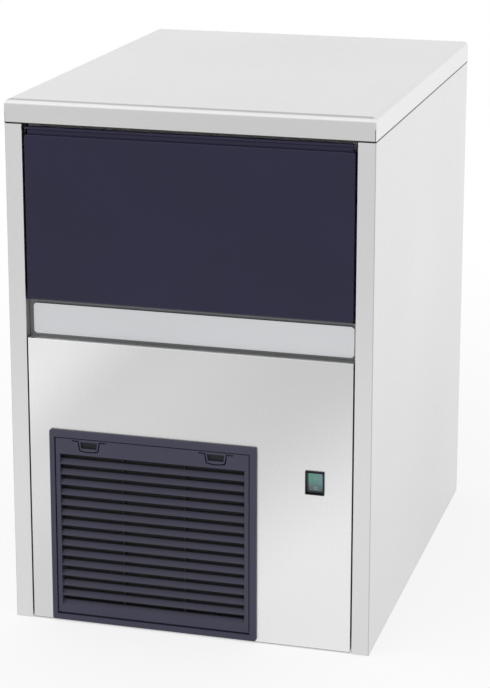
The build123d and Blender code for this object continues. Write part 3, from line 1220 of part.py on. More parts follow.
def ice_spout():
    """Rectangular chute from the outlet head through the foam into the bin."""
    y0 = BIN_BACK - SPOUT_REACH
    y1 = COLUMN_Y - math.sqrt(BARREL_FLANGE ** 2 - (SPOUT_WIDTH / 2) ** 2)
    chute = spout_passage(y0, y1 - 0.5, 0)
    chute += block((COLUMN_X - SPOUT_WIDTH / 2, COLUMN_Y - BARREL_FLANGE - 1, SPOUT_LOW),
                   (COLUMN_X + SPOUT_WIDTH / 2, COLUMN_Y, SPOUT_LOW + SPOUT_TALL))
    chute -= spout_passage(y0 - 1, COLUMN_Y + 1, -SPOUT_WALL)
    return chute - rod((COLUMN_X, COLUMN_Y, SPOUT_LOW - 1), (0, 0, 1), BARREL_FLANGE + FIT_GAP, SPOUT_TALL + 2)


def tank_box(inset, top):
    """Rounded block of the float tank, smaller by an inset."""
    corner = 8.0
    y = FOAM_REAR + FIT_GAP
    box = block((TANK_X + inset, y + inset, TANK_LEVEL + inset),
                (TANK_X + TANK_WIDTH - inset, y + TANK_DEPTH - inset, top))
    return fillet(box.edges().filter_by(Axis.Z), corner - inset)


def water_tank():
    """Float tank with an outlet stub, hung on the foam's rear face."""
    outlet = TANK_MID_X + TANK_OUTLET
    top = TANK_LEVEL + TANK_TALL
    tank = tank_box(0, top) - tank_box(TANK_WALL, top + 1)
    tank += rod((outlet, TANK_MID_Y, TANK_LEVEL - TANK_STUB), (0, 0, 1), HOSE_RADIUS, TANK_STUB + 1)
    tank -= rod((outlet, TANK_MID_Y, TANK_LEVEL - TANK_STUB - 1), (0, 0, 1), HOSE_RADIUS - 2, 2 * TANK_STUB)
    return tank - rod((TANK_X - 1, TANK_MID_Y, VALVE_Z), (1, 0, 0), VALVE_RADIUS + FIT_GAP, TANK_WALL + 2)


def tank_cover():
    """Loose cover with a rim inside the tank's edge."""
    thick = 2.0
    rim_depth = 5.0
    top = TANK_LEVEL + TANK_TALL + FIT_GAP
    cover = tank_box(0, top + thick) - block((-WIDTH, -DEPTH, 0), (WIDTH, DEPTH, top))
    rim = tank_box(TANK_WALL + FIT_GAP, top + 1) - tank_box(2 * TANK_WALL, top)
    rim -= block((-WIDTH, -DEPTH, 0), (WIDTH, DEPTH, top - rim_depth))
    return cover + rim


def float_valve():
    """Float valve body through the tank's wall, with a fork for the arm."""
    y, z = TANK_MID_Y, VALVE_Z
    flange = 12.0
    flange_thick = 4.0
    bore = 4.0
    nose = 12.0
    cheek_in = 3.0
    cheek_out = 6.0
    fork_x = TANK_X + TANK_WALL + nose
    body = rod((VALVE_BACK, y, z), (1, 0, 0), VALVE_RADIUS, fork_x - VALVE_BACK)
    body += rod((TANK_X - flange_thick, y, z), (1, 0, 0), flange, flange_thick - FIT_GAP)
    body -= rod((VALVE_BACK - 1, y, z), (1, 0, 0), bore, TANK_STUB + 2)
    for s in (-1, 1):
        body += block((fork_x - bore, min(y + s * cheek_in, y + s * cheek_out), z - cheek_out),
                      (fork_x + 10, max(y + s * cheek_in, y + s * cheek_out), z + cheek_out))
    return body + rod((FLOAT_PIVOT, y - cheek_out, z), (0, 1, 0), FLOAT_PIN, 2 * cheek_out)


def float_arm():
    """Float on its arm, which swings on the valve's fork pin."""
    y, z = TANK_MID_Y, VALVE_Z
    arm_half = 2.0
    eye = 4.0
    float_near = 30.0
    float_far = 68.0
    float_half = 20.0
    float_tall = 33.0
    arm = block((FLOAT_PIVOT, y - arm_half, z - arm_half),
                (FLOAT_PIVOT + float_near + eye, y + arm_half, z + arm_half))
    arm += rod((FLOAT_PIVOT, y - arm_half - 0.5, z), (0, 1, 0), eye, 2 * arm_half + 1)
    ball = block((FLOAT_PIVOT + float_near, y - float_half, z - 1 - float_tall),
                 (FLOAT_PIVOT + float_far, y + float_half, z - 1))
    arm += fillet(ball.edges(), 5)
    return arm - rod((FLOAT_PIVOT, y - eye, z), (0, 1, 0), FLOAT_PIN + RUNNING_GAP, 2 * eye)


def water_hose():
    """Hose from the tank's outlet to the barrel's lower end."""
    bend = 18.0
    x = TANK_MID_X + TANK_OUTLET
    z = BEARING_LOW + STUB_LIFT
    return pipe([(x, TANK_MID_Y, TANK_LEVEL - TANK_STUB - FIT_GAP), (x, TANK_MID_Y, z + 2 * bend), (x, COLUMN_Y, z),
                 (COLUMN_X - STUB_REACH - FIT_GAP, COLUMN_Y, z)], bend, HOSE_RADIUS)


def inlet_valve():
    """Solenoid water inlet valve: threaded rear connection, body and coil."""
    flange_thick = 6.0
    flange_lip = 5.0
    coil_half = 20.0
    coil_tall = 44.0
    corner = 6.0
    bore = 9.0
    half = INLET_BODY / 2
    x, z = INLET_X, INLET_LEVEL
    back = REAR - INLET_BODY_SETBACK + INLET_BODY
    front = REAR - INLET_BODY_SETBACK
    along = (0, 1, 0)
    valve = rod((x, back - corner, z), along, INLET_THREAD - FITTING_NECK, REAR + FITTING_REACH - back + corner)
    valve += rod((x, REAR + FITTING_LIFT, z), along, INLET_THREAD, FITTING_REACH - FITTING_LIFT)
    valve += rod((x, REAR - SHEET - FIT_GAP - flange_thick, z), along, INLET_THREAD + flange_lip, flange_thick)
    valve += block((x - half, front, z - half), (x + half, back, z + half))
    coil = block((x - coil_half, front - 4, z + half), (x + coil_half, back + 4, z + half + coil_tall))
    valve += fillet(coil.edges().filter_by(Axis.Z), corner)
    valve += rod((x, front + 1, z), (0, -1, 0), INLET_TUBE, INLET_STUB + 1)
    return valve - rod((x, REAR - FITTING_REACH, z), along, bore, 3 * FITTING_REACH)


def inlet_hose():
    """Hose from the inlet valve up to the float valve."""
    bend = 12.0
    rise = 60.0
    start = REAR - INLET_BODY_SETBACK - INLET_STUB - FIT_GAP
    lane = TANK_X - 34
    y = TANK_MID_Y
    return pipe([(INLET_X, start, INLET_LEVEL), (INLET_X, y, INLET_LEVEL), (INLET_X, y, INLET_LEVEL + rise),
                 (lane, y, INLET_LEVEL + 2 * rise), (lane, y, VALVE_Z), (VALVE_BACK - FIT_GAP, y, VALVE_Z)],
                bend, INLET_TUBE)


def cable_gland():
    """Strain-relief gland for the supply lead in the rear panel."""
    x, z = GLAND_X, GLAND_LEVEL
    inside = 16.0
    nut_thick = 6.0
    cap_radius = 10.0
    cap_reach = 14.0
    lock_thick = 4.5
    along = (0, 1, 0)
    nut = RegularPolygon(GLAND_NUT, 6)
    gland = rod((x, REAR - inside, z), along, GLAND_RADIUS, inside + nut_thick)
    gland += Plane(origin=(x, REAR + FIT_GAP / 3, z), z_dir=along) * extrude(nut, nut_thick)
    gland += rod((x, REAR + nut_thick - 1, z), along, cap_radius, cap_reach - nut_thick + 1)
    gland += Plane(origin=(x, REAR - SHEET - FIT_GAP - lock_thick, z), z_dir=along) * extrude(nut, lock_thick)
    return gland - rod((x, REAR - inside - 1, z), along, GLAND_BORE, inside + cap_reach + 2)


def electric_box():
    """Moulded terminal box on the right side panel, open towards the middle."""
    right = SIDE - SHEET - FIT_GAP
    left = right - ELECTRIC_WIDTH
    y0 = FRONT + ELECTRIC_SETBACK
    top = ELECTRIC_LOW + ELECTRIC_TALL
    box = block((left, y0, ELECTRIC_LOW), (right, y0 + ELECTRIC_DEPTH, top))
    box = fillet(box.edges().filter_by(Axis.X), ELECTRIC_CORNER)
    wall = ELECTRIC_WALL
    box -= block((left - 1, y0 + wall, ELECTRIC_LOW + wall), (right - wall, y0 + ELECTRIC_DEPTH - wall, top - wall))
    return box


def electric_cover():
    """Screwed cover of the terminal box."""
    right = SIDE - SHEET - FIT_GAP - ELECTRIC_WIDTH - FIT_GAP
    y0 = FRONT + ELECTRIC_SETBACK
    cover = block((right - ELECTRIC_WALL, y0, ELECTRIC_LOW),
                  (right, y0 + ELECTRIC_DEPTH, ELECTRIC_LOW + ELECTRIC_TALL))
    cover = fillet(cover.edges().filter_by(Axis.X), ELECTRIC_CORNER)
    return chamfer(edges_near(cover, "X", right - ELECTRIC_WALL), ELECTRIC_WALL / 3)


def nodes():
    """Every piece of the machine by name."""
    right_side = side_panel_right()
    return {
        "base_pan": base_pan(), "leg_inserts": leg_inserts(),
        "side_panel_right": right_side, "side_panel_left": mirror(right_side, about=Plane.YZ),
        "top_lid": top_lid(), "lid_insulation": lid_insulation(),
        "rear_panel": rear_panel(), "rear_screws": rear_screws(),
        "front_panel": front_panel(), "sill_rail": sill_rail(), "trim_bar": trim_bar(),
        "door_panel": door_panel(),
        "hinge_pins": hinge_pins(), "hinge_bushes": hinge_bushes(),
        "grille_frame": grille_frame(), "louvre_panel": louvre_panel(), "air_filter": air_filter(),
        "switch_body": switch_body(), "switch_rocker": switch_rocker(),
        "bin_shelf": bin_shelf(), "bin_liner": bin_liner(), "bin_insulation": bin_insulation(),
        "bin_drain": bin_drain(), "drain_hose": drain_hose(), "drain_spigot": drain_spigot(),
        "probe_tube": probe_tube(),
        "condenser": condenser(), "fan_shroud": fan_shroud(), "fan_blade": fan_blade(),
        "fan_motor": fan_motor(), "fan_bracket": fan_bracket(),
        "compressor": compressor(), "compressor_grommets": compressor_grommets(),
        "compressor_bolts": compressor_bolts(), "terminal_cover": terminal_cover(),
        "filter_drier": filter_drier(), "liquid_pipe": liquid_pipe(),
        "discharge_pipe": discharge_pipe(), "suction_pipe": suction_pipe(),
        "machine_stand": machine_stand(), "gearbox": gearbox(), "drive_motor": drive_motor(),
        "bearing_housing": bearing_housing(), "freezer_barrel": freezer_barrel(),
        "barrel_insulation": barrel_insulation(), "auger": auger(), "ice_breaker": ice_breaker(),
        "ice_head": ice_head(), "ice_sweeper": ice_sweeper(), "ice_spout": ice_spout(),
        "water_tank": water_tank(), "tank_cover": tank_cover(), "float_valve": float_valve(),
        "float_arm": float_arm(), "water_hose": water_hose(), "inlet_valve": inlet_valve(),
        "inlet_hose": inlet_hose(), "cable_gland": cable_gland(),
        "electric_box": electric_box(), "electric_cover": electric_cover(),
    }


os.makedirs("parts", exist_ok=True)
for name, shape in nodes().items():
    export_step(shape, f"parts/{name}.step")
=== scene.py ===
import json
import math

import bmesh
import bpy
from mathutils import Matrix, Vector


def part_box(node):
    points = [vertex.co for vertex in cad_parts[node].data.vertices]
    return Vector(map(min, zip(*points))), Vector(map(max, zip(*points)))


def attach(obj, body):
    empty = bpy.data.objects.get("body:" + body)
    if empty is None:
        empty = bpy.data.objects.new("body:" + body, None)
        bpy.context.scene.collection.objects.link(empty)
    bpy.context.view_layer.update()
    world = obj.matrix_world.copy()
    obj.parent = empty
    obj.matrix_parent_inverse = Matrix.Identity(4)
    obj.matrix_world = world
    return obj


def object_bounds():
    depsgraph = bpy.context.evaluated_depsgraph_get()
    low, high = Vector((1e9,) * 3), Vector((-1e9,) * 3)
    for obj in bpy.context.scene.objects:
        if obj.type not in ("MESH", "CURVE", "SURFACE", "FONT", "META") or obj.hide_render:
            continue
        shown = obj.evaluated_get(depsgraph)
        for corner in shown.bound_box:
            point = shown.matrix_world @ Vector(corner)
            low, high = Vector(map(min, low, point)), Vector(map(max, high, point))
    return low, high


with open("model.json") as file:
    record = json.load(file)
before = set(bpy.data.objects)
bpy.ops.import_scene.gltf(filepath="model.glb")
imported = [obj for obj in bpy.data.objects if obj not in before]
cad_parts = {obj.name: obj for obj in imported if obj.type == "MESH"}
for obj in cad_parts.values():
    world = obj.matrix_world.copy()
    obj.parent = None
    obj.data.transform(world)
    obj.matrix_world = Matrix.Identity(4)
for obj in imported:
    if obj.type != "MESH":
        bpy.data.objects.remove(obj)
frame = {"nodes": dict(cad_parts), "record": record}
CAD_BOX = [list(corner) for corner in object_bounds()]
NODES = frame["nodes"]


def linear(*rgb):
    """Linear colour from plain 0 to 255 values."""
    return tuple((c / 255 / 12.92) if c / 255 <= 0.04045 else ((c / 255 + 0.055) / 1.055) ** 2.4 for c in rgb)


def shade(colour, factor):
    """A colour made darker or lighter by a factor."""
    return tuple(c * factor for c in colour)


# Camera, fitted to the cabinet's corners in the 490 x 688 photograph
PHOTO_HEIGHT = 688
FOCAL_PIXELS = 2192.3
SHIFT_PIXELS = -103
SENSOR = 36.0
AZIMUTH = math.radians(15.58)
ELEVATION = math.radians(13.905)
ROLL = math.radians(0.039)
DISTANCE = 2.9925
AIM_SIDE = -0.0123
AIM_HEIGHT = 0.4451

# Places taken from the frame
LOW, HIGH = (Vector(corner) for corner in CAD_BOX)
PANEL_LOW, PANEL_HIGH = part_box("front_panel")
LID_LOW, LID_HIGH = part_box("top_lid")
LOUVRE_LOW, LOUVRE_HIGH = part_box("louvre_panel")
ROCKER_LOW, ROCKER_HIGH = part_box("switch_rocker")
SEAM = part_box("side_panel_right")[1].z
FOAM_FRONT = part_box("bin_insulation")[0].y
FRONT = LID_LOW.y
REAR = LID_HIGH.y
MIDDLE_Y = (FRONT + REAR) / 2

# Main colours, and the grain's scale on upright and level sheets
STEEL = linear(224, 224, 224)
# Lighter steel, painted light on the lid's side skirts
SKIRT_PAINTED_LIGHT = linear(236, 236, 236)
NAVY = linear(32, 31, 57)
NAVY_GRILLE = linear(62, 61, 79)
UPRIGHT = (2500, 2500, 40)
ALONG = (2500, 40, 2500)
NOISE_LOW = 0.3
NOISE_HIGH = 0.7

# Painted shadow line between lid and sides, and a lighter painted shade line along the front corners
SEAM_SHADOW_COLOUR = linear(70, 70, 70)
SEAM_SHADOW_LINE = 0.0009
CORNER_SHADE_COLOUR = linear(188, 188, 188)
CORNER_SHADE_LINE = 0.0010
SKIRT = 0.001

# Painted shading of a side panel, as tones from its foot to the lid
SIDE_SHADE_TONES = (0.96, 1.05)

# Painted reflection on the front panel, as tones from 0 at its upper left to 2 at its lower right corner
PANEL_REFLECTION_TONES = (0.1, 0.45, 1.25, 0.98)
PANEL_REFLECTION_CHANGES = ((0.5, 0.9, -0.08), (0.97, 1.6, 0.24))

# Painted shade in the grille, as depths behind its face and a drop from its top
BLADE_SHADE_DEPTHS = (0.0045, 0.0062)
BLADE_SHADE = 0.85
POCKET_SHADE_DEPTHS = (0.0018, 0.004)
POCKET_SHADE_DROP = 0.0135

# Painted shade on the foam's front
FOAM_SHADE_DEPTH = 0.002

# Rocker's colours, its painted sheen and the painted shade of its well, as shares of its width and height
GREEN_SPAN = (0.2, 0.75)
PAINTED_SHEEN_SPAN = (0.45, 0.95)
WELL_LEFT = (0.13, 0.2)
WELL_BELOW = (0.09, 0.16)
WELL_SHADE = 0.12

# Marks on the rocker, whose face leans back by a rise above and a drop below its middle
ROCKER_RISE = 0.0012
ROCKER_DROP = 0.0015
MARK_WIDTH = 0.0009
MARK_TALL = 0.0044
MARK_THICK = 0.0003
MARK_PROUD = 0.0001
MARK_SIDE = 0.0012
MARK_SHARE = 0.24
MARK_STEPS = 32

# White surroundings: their light, and their tones in reflections, by direction
WORLD_LIGHT = 0.88
FRONT_TONE = 0.78
FRONT_SKY = (-0.7, -0.1)
HIGH_TONE = 0.62
HIGH_SKY = (0.45, 0.8)

# Floor
FLOOR_RADIUS = 9.0
FLOOR_STEPS = 96
FLOOR_GAP = 0.0002
FLOOR_TONE = 0.92
FLOOR_GLOW = 0.75
FLOOR_FADE = (0.75, 1.9)
FRONT_FLOOR = (-2.2, -0.7)

# Lamp
LAMP_PLACE = (-1.0, -1.9, 3.0)
LAMP_AIM = (0, 0, 0.35)
LAMP_SIZE = (4.0, 3.2)
LAMP_POWER = 24


def place_camera():
    """Camera at the photograph's viewing angle."""
    data = bpy.data.cameras.new("camera")
    data.sensor_width = SENSOR
    data.lens = FOCAL_PIXELS / PHOTO_HEIGHT * SENSOR
    data.shift_y = SHIFT_PIXELS / PHOTO_HEIGHT
    data.clip_end = 50
    camera = bpy.data.objects.new("camera", data)
    bpy.context.scene.collection.objects.link(camera)
    back = Vector((math.sin(AZIMUTH) * math.cos(ELEVATION), -math.cos(AZIMUTH) * math.cos(ELEVATION),
                   math.sin(ELEVATION)))
    aim = Vector((AIM_SIDE, MIDDLE_Y, AIM_HEIGHT))
    camera.rotation_mode = "QUATERNION"
    camera.location = aim + back * DISTANCE
    camera.rotation_quaternion = back.to_track_quat("Z", "Y") @ Matrix.Rotation(ROLL, 3, "Z").to_quaternion()
    bpy.context.scene.camera = camera


class Graph:
    """Short ways to add and join the nodes of one tree."""

    def __init__(self, tree):
        self.tree = tree

    def add(self, kind, **settings):
        node = self.tree.nodes.new(kind)
        for key, value in settings.items():
            setattr(node, key, value)
        return node

    def link(self, source, target):
        self.tree.links.new(source, target)

    def place(self, space):
        """The place that is shaded, in one of Blender's coordinate spaces."""
        return self.add("ShaderNodeTexCoord").outputs[space]

    def split(self, vector):
        """X, Y and Z of a vector."""
        node = self.add("ShaderNodeSeparateXYZ")
        self.link(vector, node.inputs["Vector"])
        return node.outputs

    def join(self, operation, first, second):
        """Two values joined by one operation; each is a socket or a number."""
        node = self.add("ShaderNodeMath", operation=operation)
        for value, socket in ((first, node.inputs[0]), (second, node.inputs[1])):
            if isinstance(value, (int, float)):
                socket.default_value = value
            else:
                self.link(value, socket)
        return node.outputs["Value"]

    def slope(self, value, start, end, low, high, kind="SMOOTHSTEP"):
        """Change from one number to another between two values, smooth unless told otherwise."""
        node = self.add("ShaderNodeMapRange", interpolation_type=kind)
        for name, number in (("From Min", start), ("From Max", end), ("To Min", low), ("To Max", high)):
            node.inputs[name].default_value = number
        self.link(value, node.inputs["Value"])
        return node.outputs["Result"]

    def seen_directly(self):
        """1 for rays from the camera, mirrors and glass, 0 for the light that falls on things."""
        rays = self.add("ShaderNodeLightPath").outputs
        mirrored = self.join("MAXIMUM", rays["Is Glossy Ray"], rays["Is Transmission Ray"])
        return self.join("MAXIMUM", rays["Is Camera Ray"], mirrored)

    def white_to_camera(self, tone):
        """White for the camera's own rays, and the given tone in reflections."""
        rays = self.add("ShaderNodeLightPath").outputs
        return self.join("MAXIMUM", tone, rays["Is Camera Ray"])


class Nodes(Graph):
    """One Principled material, coloured by noise and by place."""

    def __init__(self, name, **values):
        self.material = bpy.data.materials.new(name)
        self.material.use_nodes = True
        super().__init__(self.material.node_tree)
        self.shader = self.tree.nodes["Principled BSDF"]
        for key, value in values.items():
            self.shader.inputs[key.replace("_", " ")].default_value = value

    def coords(self, scale=(1, 1, 1)):
        mapping = self.add("ShaderNodeMapping")
        mapping.inputs["Scale"].default_value = scale
        self.link(self.place("Object"), mapping.inputs["Vector"])
        return mapping.outputs["Vector"]

    def axes(self):
        """The place on the object along X, Y and Z."""
        return self.split(self.place("Object"))

    def noise(self, vector, scale, detail=2.0, rough=0.5):
        node = self.add("ShaderNodeTexNoise")
        for name, number in (("Scale", scale), ("Detail", detail), ("Roughness", rough)):
            node.inputs[name].default_value = number
        self.link(vector, node.inputs["Vector"])
        return node.outputs["Fac"]

    def between(self, noise, low, high):
        """Noise stretched to run from one number to another."""
        return self.slope(noise, NOISE_LOW, NOISE_HIGH, low, high, "LINEAR")

    def colour(self, factor, first, second):
        """Makes the base colour run from one colour to another."""
        node = self.add("ShaderNodeMix", data_type="RGBA")
        node.inputs["A"].default_value = (*first, 1)
        node.inputs["B"].default_value = (*second, 1)
        self.link(factor, node.inputs["Factor"])
        self.link(node.outputs["Result"], self.shader.inputs["Base Color"])

    def tint(self, factor, colour, first, second):
        """Makes the base colour run between two shades of one colour."""
        self.colour(factor, shade(colour, first), shade(colour, second))

    def gloss(self, noise, low, high):
        """Makes the roughness run between two values."""
        self.link(self.between(noise, low, high), self.shader.inputs["Roughness"])

    def zone(self, **ranges):
        """1 inside the given ranges of X, Y and Z, 0 outside."""
        axes = self.axes()
        inside = None
        for axis, (low, high) in ranges.items():
            for part in (self.join("GREATER_THAN", axes[axis], low), self.join("LESS_THAN", axes[axis], high)):
                inside = part if inside is None else self.join("MULTIPLY", inside, part)
        return inside

    def paint(self, share, colour):
        """Mixes a colour over the material's own colour by a share."""
        base = self.shader.inputs["Base Color"]
        node = self.add("ShaderNodeMix", data_type="RGBA")
        self.link(base.links[0].from_socket, node.inputs["A"])
        node.inputs["B"].default_value = (*colour, 1)
        self.link(share, node.inputs["Factor"])
        self.link(node.outputs["Result"], base)

    def dim(self, factor):
        """Multiplies the material's own colour by a socket's value."""
        base = self.shader.inputs["Base Color"]
        node = self.add("ShaderNodeVectorMath", operation="SCALE")
        self.link(base.links[0].from_socket, node.inputs[0])
        self.link(factor, node.inputs["Scale"])
        self.link(node.outputs["Vector"], base)

    def bump(self, height, strength, distance):
        node = self.add("ShaderNodeBump")
        node.inputs["Strength"].default_value = strength
        node.inputs["Distance"].default_value = distance
        self.link(height, node.inputs["Height"])
        self.link(node.outputs["Normal"], self.shader.inputs["Normal"])


def brushed(name, colour, grain, low, high, depth=0.00002):
    """Satin sheet metal with a fine grain along one direction."""
    n = Nodes(name, Metallic=1.0)
    fine = n.noise(n.coords(grain), 1.0, 3.0, 0.6)
    soft = n.noise(n.coords(), 3.0, 1.0)
    n.tint(n.between(soft, 0, 1), colour, 0.97, 1.02)
    n.gloss(fine, low, high)
    n.bump(fine, 0.25, depth)
    return n


def plastic(name, colour, roughness, grain=1800.0, depth=0.00003, coat=0.0, sheen=0.5):
    """Moulded plastic with a fine texture and a slight change of tone."""
    n = Nodes(name, Coat_Weight=coat, Coat_Roughness=0.15, Specular_IOR_Level=sheen)
    fine = n.noise(n.coords(), grain, 1.0)
    soft = n.noise(n.coords(), 9.0, 2.0)
    n.tint(n.between(soft, 0, 1), colour, 0.95, 1.05)
    n.gloss(fine, roughness - 0.03, roughness + 0.03)
    n.bump(fine, 0.2, depth)
    return n


def metal(name, colour, roughness, grain=400.0, depth=0.00003):
    """Plain metal with small spots of tone and roughness."""
    n = Nodes(name, Metallic=1.0)
    spots = n.noise(n.coords(), grain, 3.0)
    n.tint(n.between(spots, 0, 1), colour, 0.9, 1.05)
    n.gloss(spots, roughness - 0.05, roughness + 0.07)
    n.bump(spots, 0.15, depth)
    return n


def mesh_cloth(name, colour):
    """Woven filter mesh."""
    n = Nodes(name, Roughness=0.8)
    weave = n.add("ShaderNodeTexVoronoi")
    weave.inputs["Scale"].default_value = 900.0
    weave.inputs["Randomness"].default_value = 0.1
    n.link(n.coords(), weave.inputs["Vector"])
    n.tint(weave.outputs["Distance"], colour, 1.4, 0.3)
    n.bump(weave.outputs["Distance"], 0.6, 0.0003)
    return n


def threaded(name, colour, start):
    """Brass whose rear end shows a thread from a given depth on."""
    n = Nodes(name, Metallic=1.0)
    n.tint(n.between(n.noise(n.coords(), 60.0), 0, 1), colour, 0.85, 1.0)
    n.gloss(n.noise(n.coords(), 150.0), 0.25, 0.4)
    wave = n.add("ShaderNodeTexWave", bands_direction="Y", wave_profile="TRI")
    wave.inputs["Scale"].default_value = 90.0
    n.link(n.coords(), wave.inputs["Vector"])
    past = n.join("GREATER_THAN", n.axes()["Y"], start)
    n.bump(n.join("MULTIPLY", past, wave.outputs["Fac"]), 1.0, 0.0006)
    return n


def lens():
    """Tinted rocker: green above, violet grey below, with a painted sheen and painted shade where it sinks
    into its well.
    """
    n = Nodes("switch_green", Roughness=0.2, Specular_IOR_Level=0.35)

    def over(axis, span, start, end):
        """Smooth change over a span of the rocker's width or height."""
        low, high = (getattr(corner, axis.lower()) for corner in (ROCKER_LOW, ROCKER_HIGH))
        first, last = (low + share * (high - low) for share in span)
        return n.slope(n.axes()[axis], first, last, start, end)

    up = over("Z", GREEN_SPAN, 0, 1)
    n.colour(up, linear(80, 82, 92), linear(84, 138, 121))
    # Painted sheen across the upper half
    n.paint(n.join("MULTIPLY", over("X", PAINTED_SHEEN_SPAN, 0, 1), up), linear(104, 130, 138))
    streaks = n.noise(n.coords((1, 1, 0.15)), 1100.0, 2.0)
    n.paint(n.between(streaks, 0, 0.35), linear(120, 160, 150))
    # Painted shade where the rocker sinks into its well, at the left and below
    n.dim(n.join("MULTIPLY", over("X", WELL_LEFT, WELL_SHADE, 1), over("Z", WELL_BELOW, WELL_SHADE, 1)))
    n.bump(streaks, 0.3, 0.0001)
    return n


def louvre_plastic():
    """Grille plastic with painted shade in its finger pockets and deep between the blades."""
    n = plastic("navy_matte", NAVY_GRILLE, 0.5, 900.0, 0.00008, sheen=0.3)
    shade_start, shade_end = (LOUVRE_LOW.y + depth for depth in BLADE_SHADE_DEPTHS)
    # Painted shade deep between the blades
    n.paint(n.slope(n.axes()["Y"], shade_start, shade_end, 0, BLADE_SHADE), linear(10, 10, 13))
    pocket = [LOUVRE_LOW.y + depth for depth in POCKET_SHADE_DEPTHS]
    # Painted shade in the finger pockets
    n.paint(n.zone(Y=pocket, Z=(LOUVRE_HIGH.z - POCKET_SHADE_DROP, LOUVRE_HIGH.z)), linear(18, 19, 22))
    return n


def bin_foam():
    """Yellow foam with painted shade at its front."""
    n = plastic("foam", linear(224, 205, 150), 0.8, 500.0, 0.0004)
    # Painted shade on the foam's front
    n.paint(n.zone(Y=(FOAM_FRONT - FOAM_SHADE_DEPTH, FOAM_FRONT + FOAM_SHADE_DEPTH)), linear(22, 22, 23))
    return n


def slot_materials():
    """One material for each of the record's slots."""
    made = {
        "navy_gloss": plastic("navy_gloss", NAVY, 0.3, sheen=0.3),
        "navy_matte": louvre_plastic(),
        "trim_metal": brushed("trim_metal", linear(222, 223, 226), (60, 60, 2500), 0.3, 0.42),
        "black_plastic": plastic("black_plastic", linear(16, 16, 17), 0.4, sheen=0.3),
        "switch_green": lens(),
        "liner_white": plastic("liner_white", linear(226, 228, 230), 0.3),
        "foam": bin_foam(),
        "sleeve_foam": plastic("sleeve_foam", linear(30, 30, 31), 0.85, 700.0, 0.0003),
        # Stainless steel darkened as painted shade, for the recessed sill rail
        "dark_steel": brushed("dark_steel", linear(116, 117, 118), (40, 2500, 2500), 0.3, 0.42),
        "galvanised": metal("galvanised", linear(190, 195, 198), 0.42, 45.0),
        "coil_fins": metal("coil_fins", linear(205, 207, 210), 0.35),
        "copper": metal("copper", linear(214, 138, 104), 0.3, 120.0),
        "black_paint": plastic("black_paint", linear(26, 26, 27), 0.25, 300.0, 0.00008, coat=0.3),
        "cast_metal": metal("cast_metal", linear(150, 152, 155), 0.55, 600.0, 0.0003),
        "polished_steel": metal("polished_steel", linear(222, 222, 222), 0.2, 200.0, 0.00001),
        "rubber_black": plastic("rubber_black", linear(28, 28, 28), 0.75, 600.0, 0.0001),
        "hose_grey": plastic("hose_grey", linear(150, 155, 160), 0.5, 300.0, 0.0001),
        "filter_mesh": mesh_cloth("filter_mesh", linear(24, 24, 27)),
        "brass_fitting": threaded("brass_fitting", linear(214, 184, 112), REAR),
        "grey_plastic": plastic("grey_plastic", linear(165, 167, 169), 0.5),
    }
    return {slot: n.material for slot, n in made.items()}


def sheet(node, grain):
    """Stainless sheet of one node with its grain along the sheet's rolling direction."""
    return brushed("stainless_" + node, STEEL, grain, 0.26, 0.36)


def side_sheet(node, side):
    """Side panel with painted shading, darker towards its foot, a painted shadow line where it meets the lid
    and a painted shade line along its front corner.
    """
    n = sheet(node, UPRIGHT)
    # Painted shading: darker towards the foot, lighter towards the lid
    n.dim(n.slope(n.axes()["Z"], LOW.z, SEAM, *SIDE_SHADE_TONES))
    # Painted shadow line where the side meets the lid
    n.paint(n.zone(Z=(SEAM - SEAM_SHADOW_LINE, SEAM + SEAM_SHADOW_LINE)), SEAM_SHADOW_COLOUR)
    # Painted shade line along the front corner
    edge = sorted((side * (LID_HIGH.x - CORNER_SHADE_LINE), side * (LID_HIGH.x + CORNER_SHADE_LINE)))
    n.paint(n.zone(X=edge, Y=(FRONT - CORNER_SHADE_LINE, FRONT + CORNER_SHADE_LINE)), CORNER_SHADE_COLOUR)
    return n


def lid_sheet():
    """Lid, with a painted shadow line along its lower edge and painted light on its side skirts."""
    n = sheet("top_lid", ALONG)
    # Painted light: the side skirts are given a lighter steel than the rest of the lid
    for low, high in ((LOW.x - 1, LID_LOW.x + SKIRT), (LID_HIGH.x - SKIRT, HIGH.x + 1)):
        n.paint(n.zone(X=(low, high)), SKIRT_PAINTED_LIGHT)
    # Painted shadow line along the lid's lower edge
    n.paint(n.zone(Z=(LID_LOW.z - SEAM_SHADOW_LINE, LID_LOW.z + SEAM_SHADOW_LINE)), SEAM_SHADOW_COLOUR)
    return n


def front_sheet():
    """Front panel with a painted reflection: a soft diagonal change of tone."""
    n = sheet("front_panel", UPRIGHT)
    axes = n.axes()
    across = n.slope(axes["X"], PANEL_LOW.x, PANEL_HIGH.x, 0, 1, "LINEAR")
    down = n.slope(axes["Z"], PANEL_LOW.z, PANEL_HIGH.z, 1, 0, "LINEAR")
    diagonal = n.join("ADD", across, down)
    tone = n.slope(diagonal, *PANEL_REFLECTION_TONES)
    for start, end, change in PANEL_REFLECTION_CHANGES:
        tone = n.join("ADD", tone, n.slope(diagonal, start, end, 0, change))
    # Painted reflection, darkening and lightening the sheet along the diagonal
    n.dim(tone)
    return n


def steel_materials():
    """Stainless sheets, each with its own grain."""
    made = {
        "side_panel_left": side_sheet("side_panel_left", -1),
        "side_panel_right": side_sheet("side_panel_right", 1),
        "top_lid": lid_sheet(),
        "front_panel": front_sheet(),
        "rear_panel": sheet("rear_panel", UPRIGHT),
        "base_pan": sheet("base_pan", ALONG),
    }
    return {node: n.material for node, n in made.items()}


def dress_nodes():
    """Gives every node its material."""
    by_slot = slot_materials()
    steel = steel_materials()
    for part in frame["record"]["subparts"]:
        node = NODES[part["node"]]
        material = steel.get(part["node"]) or by_slot[part["material_slot"]]
        node.data.materials.clear()
        node.data.materials.append(material)


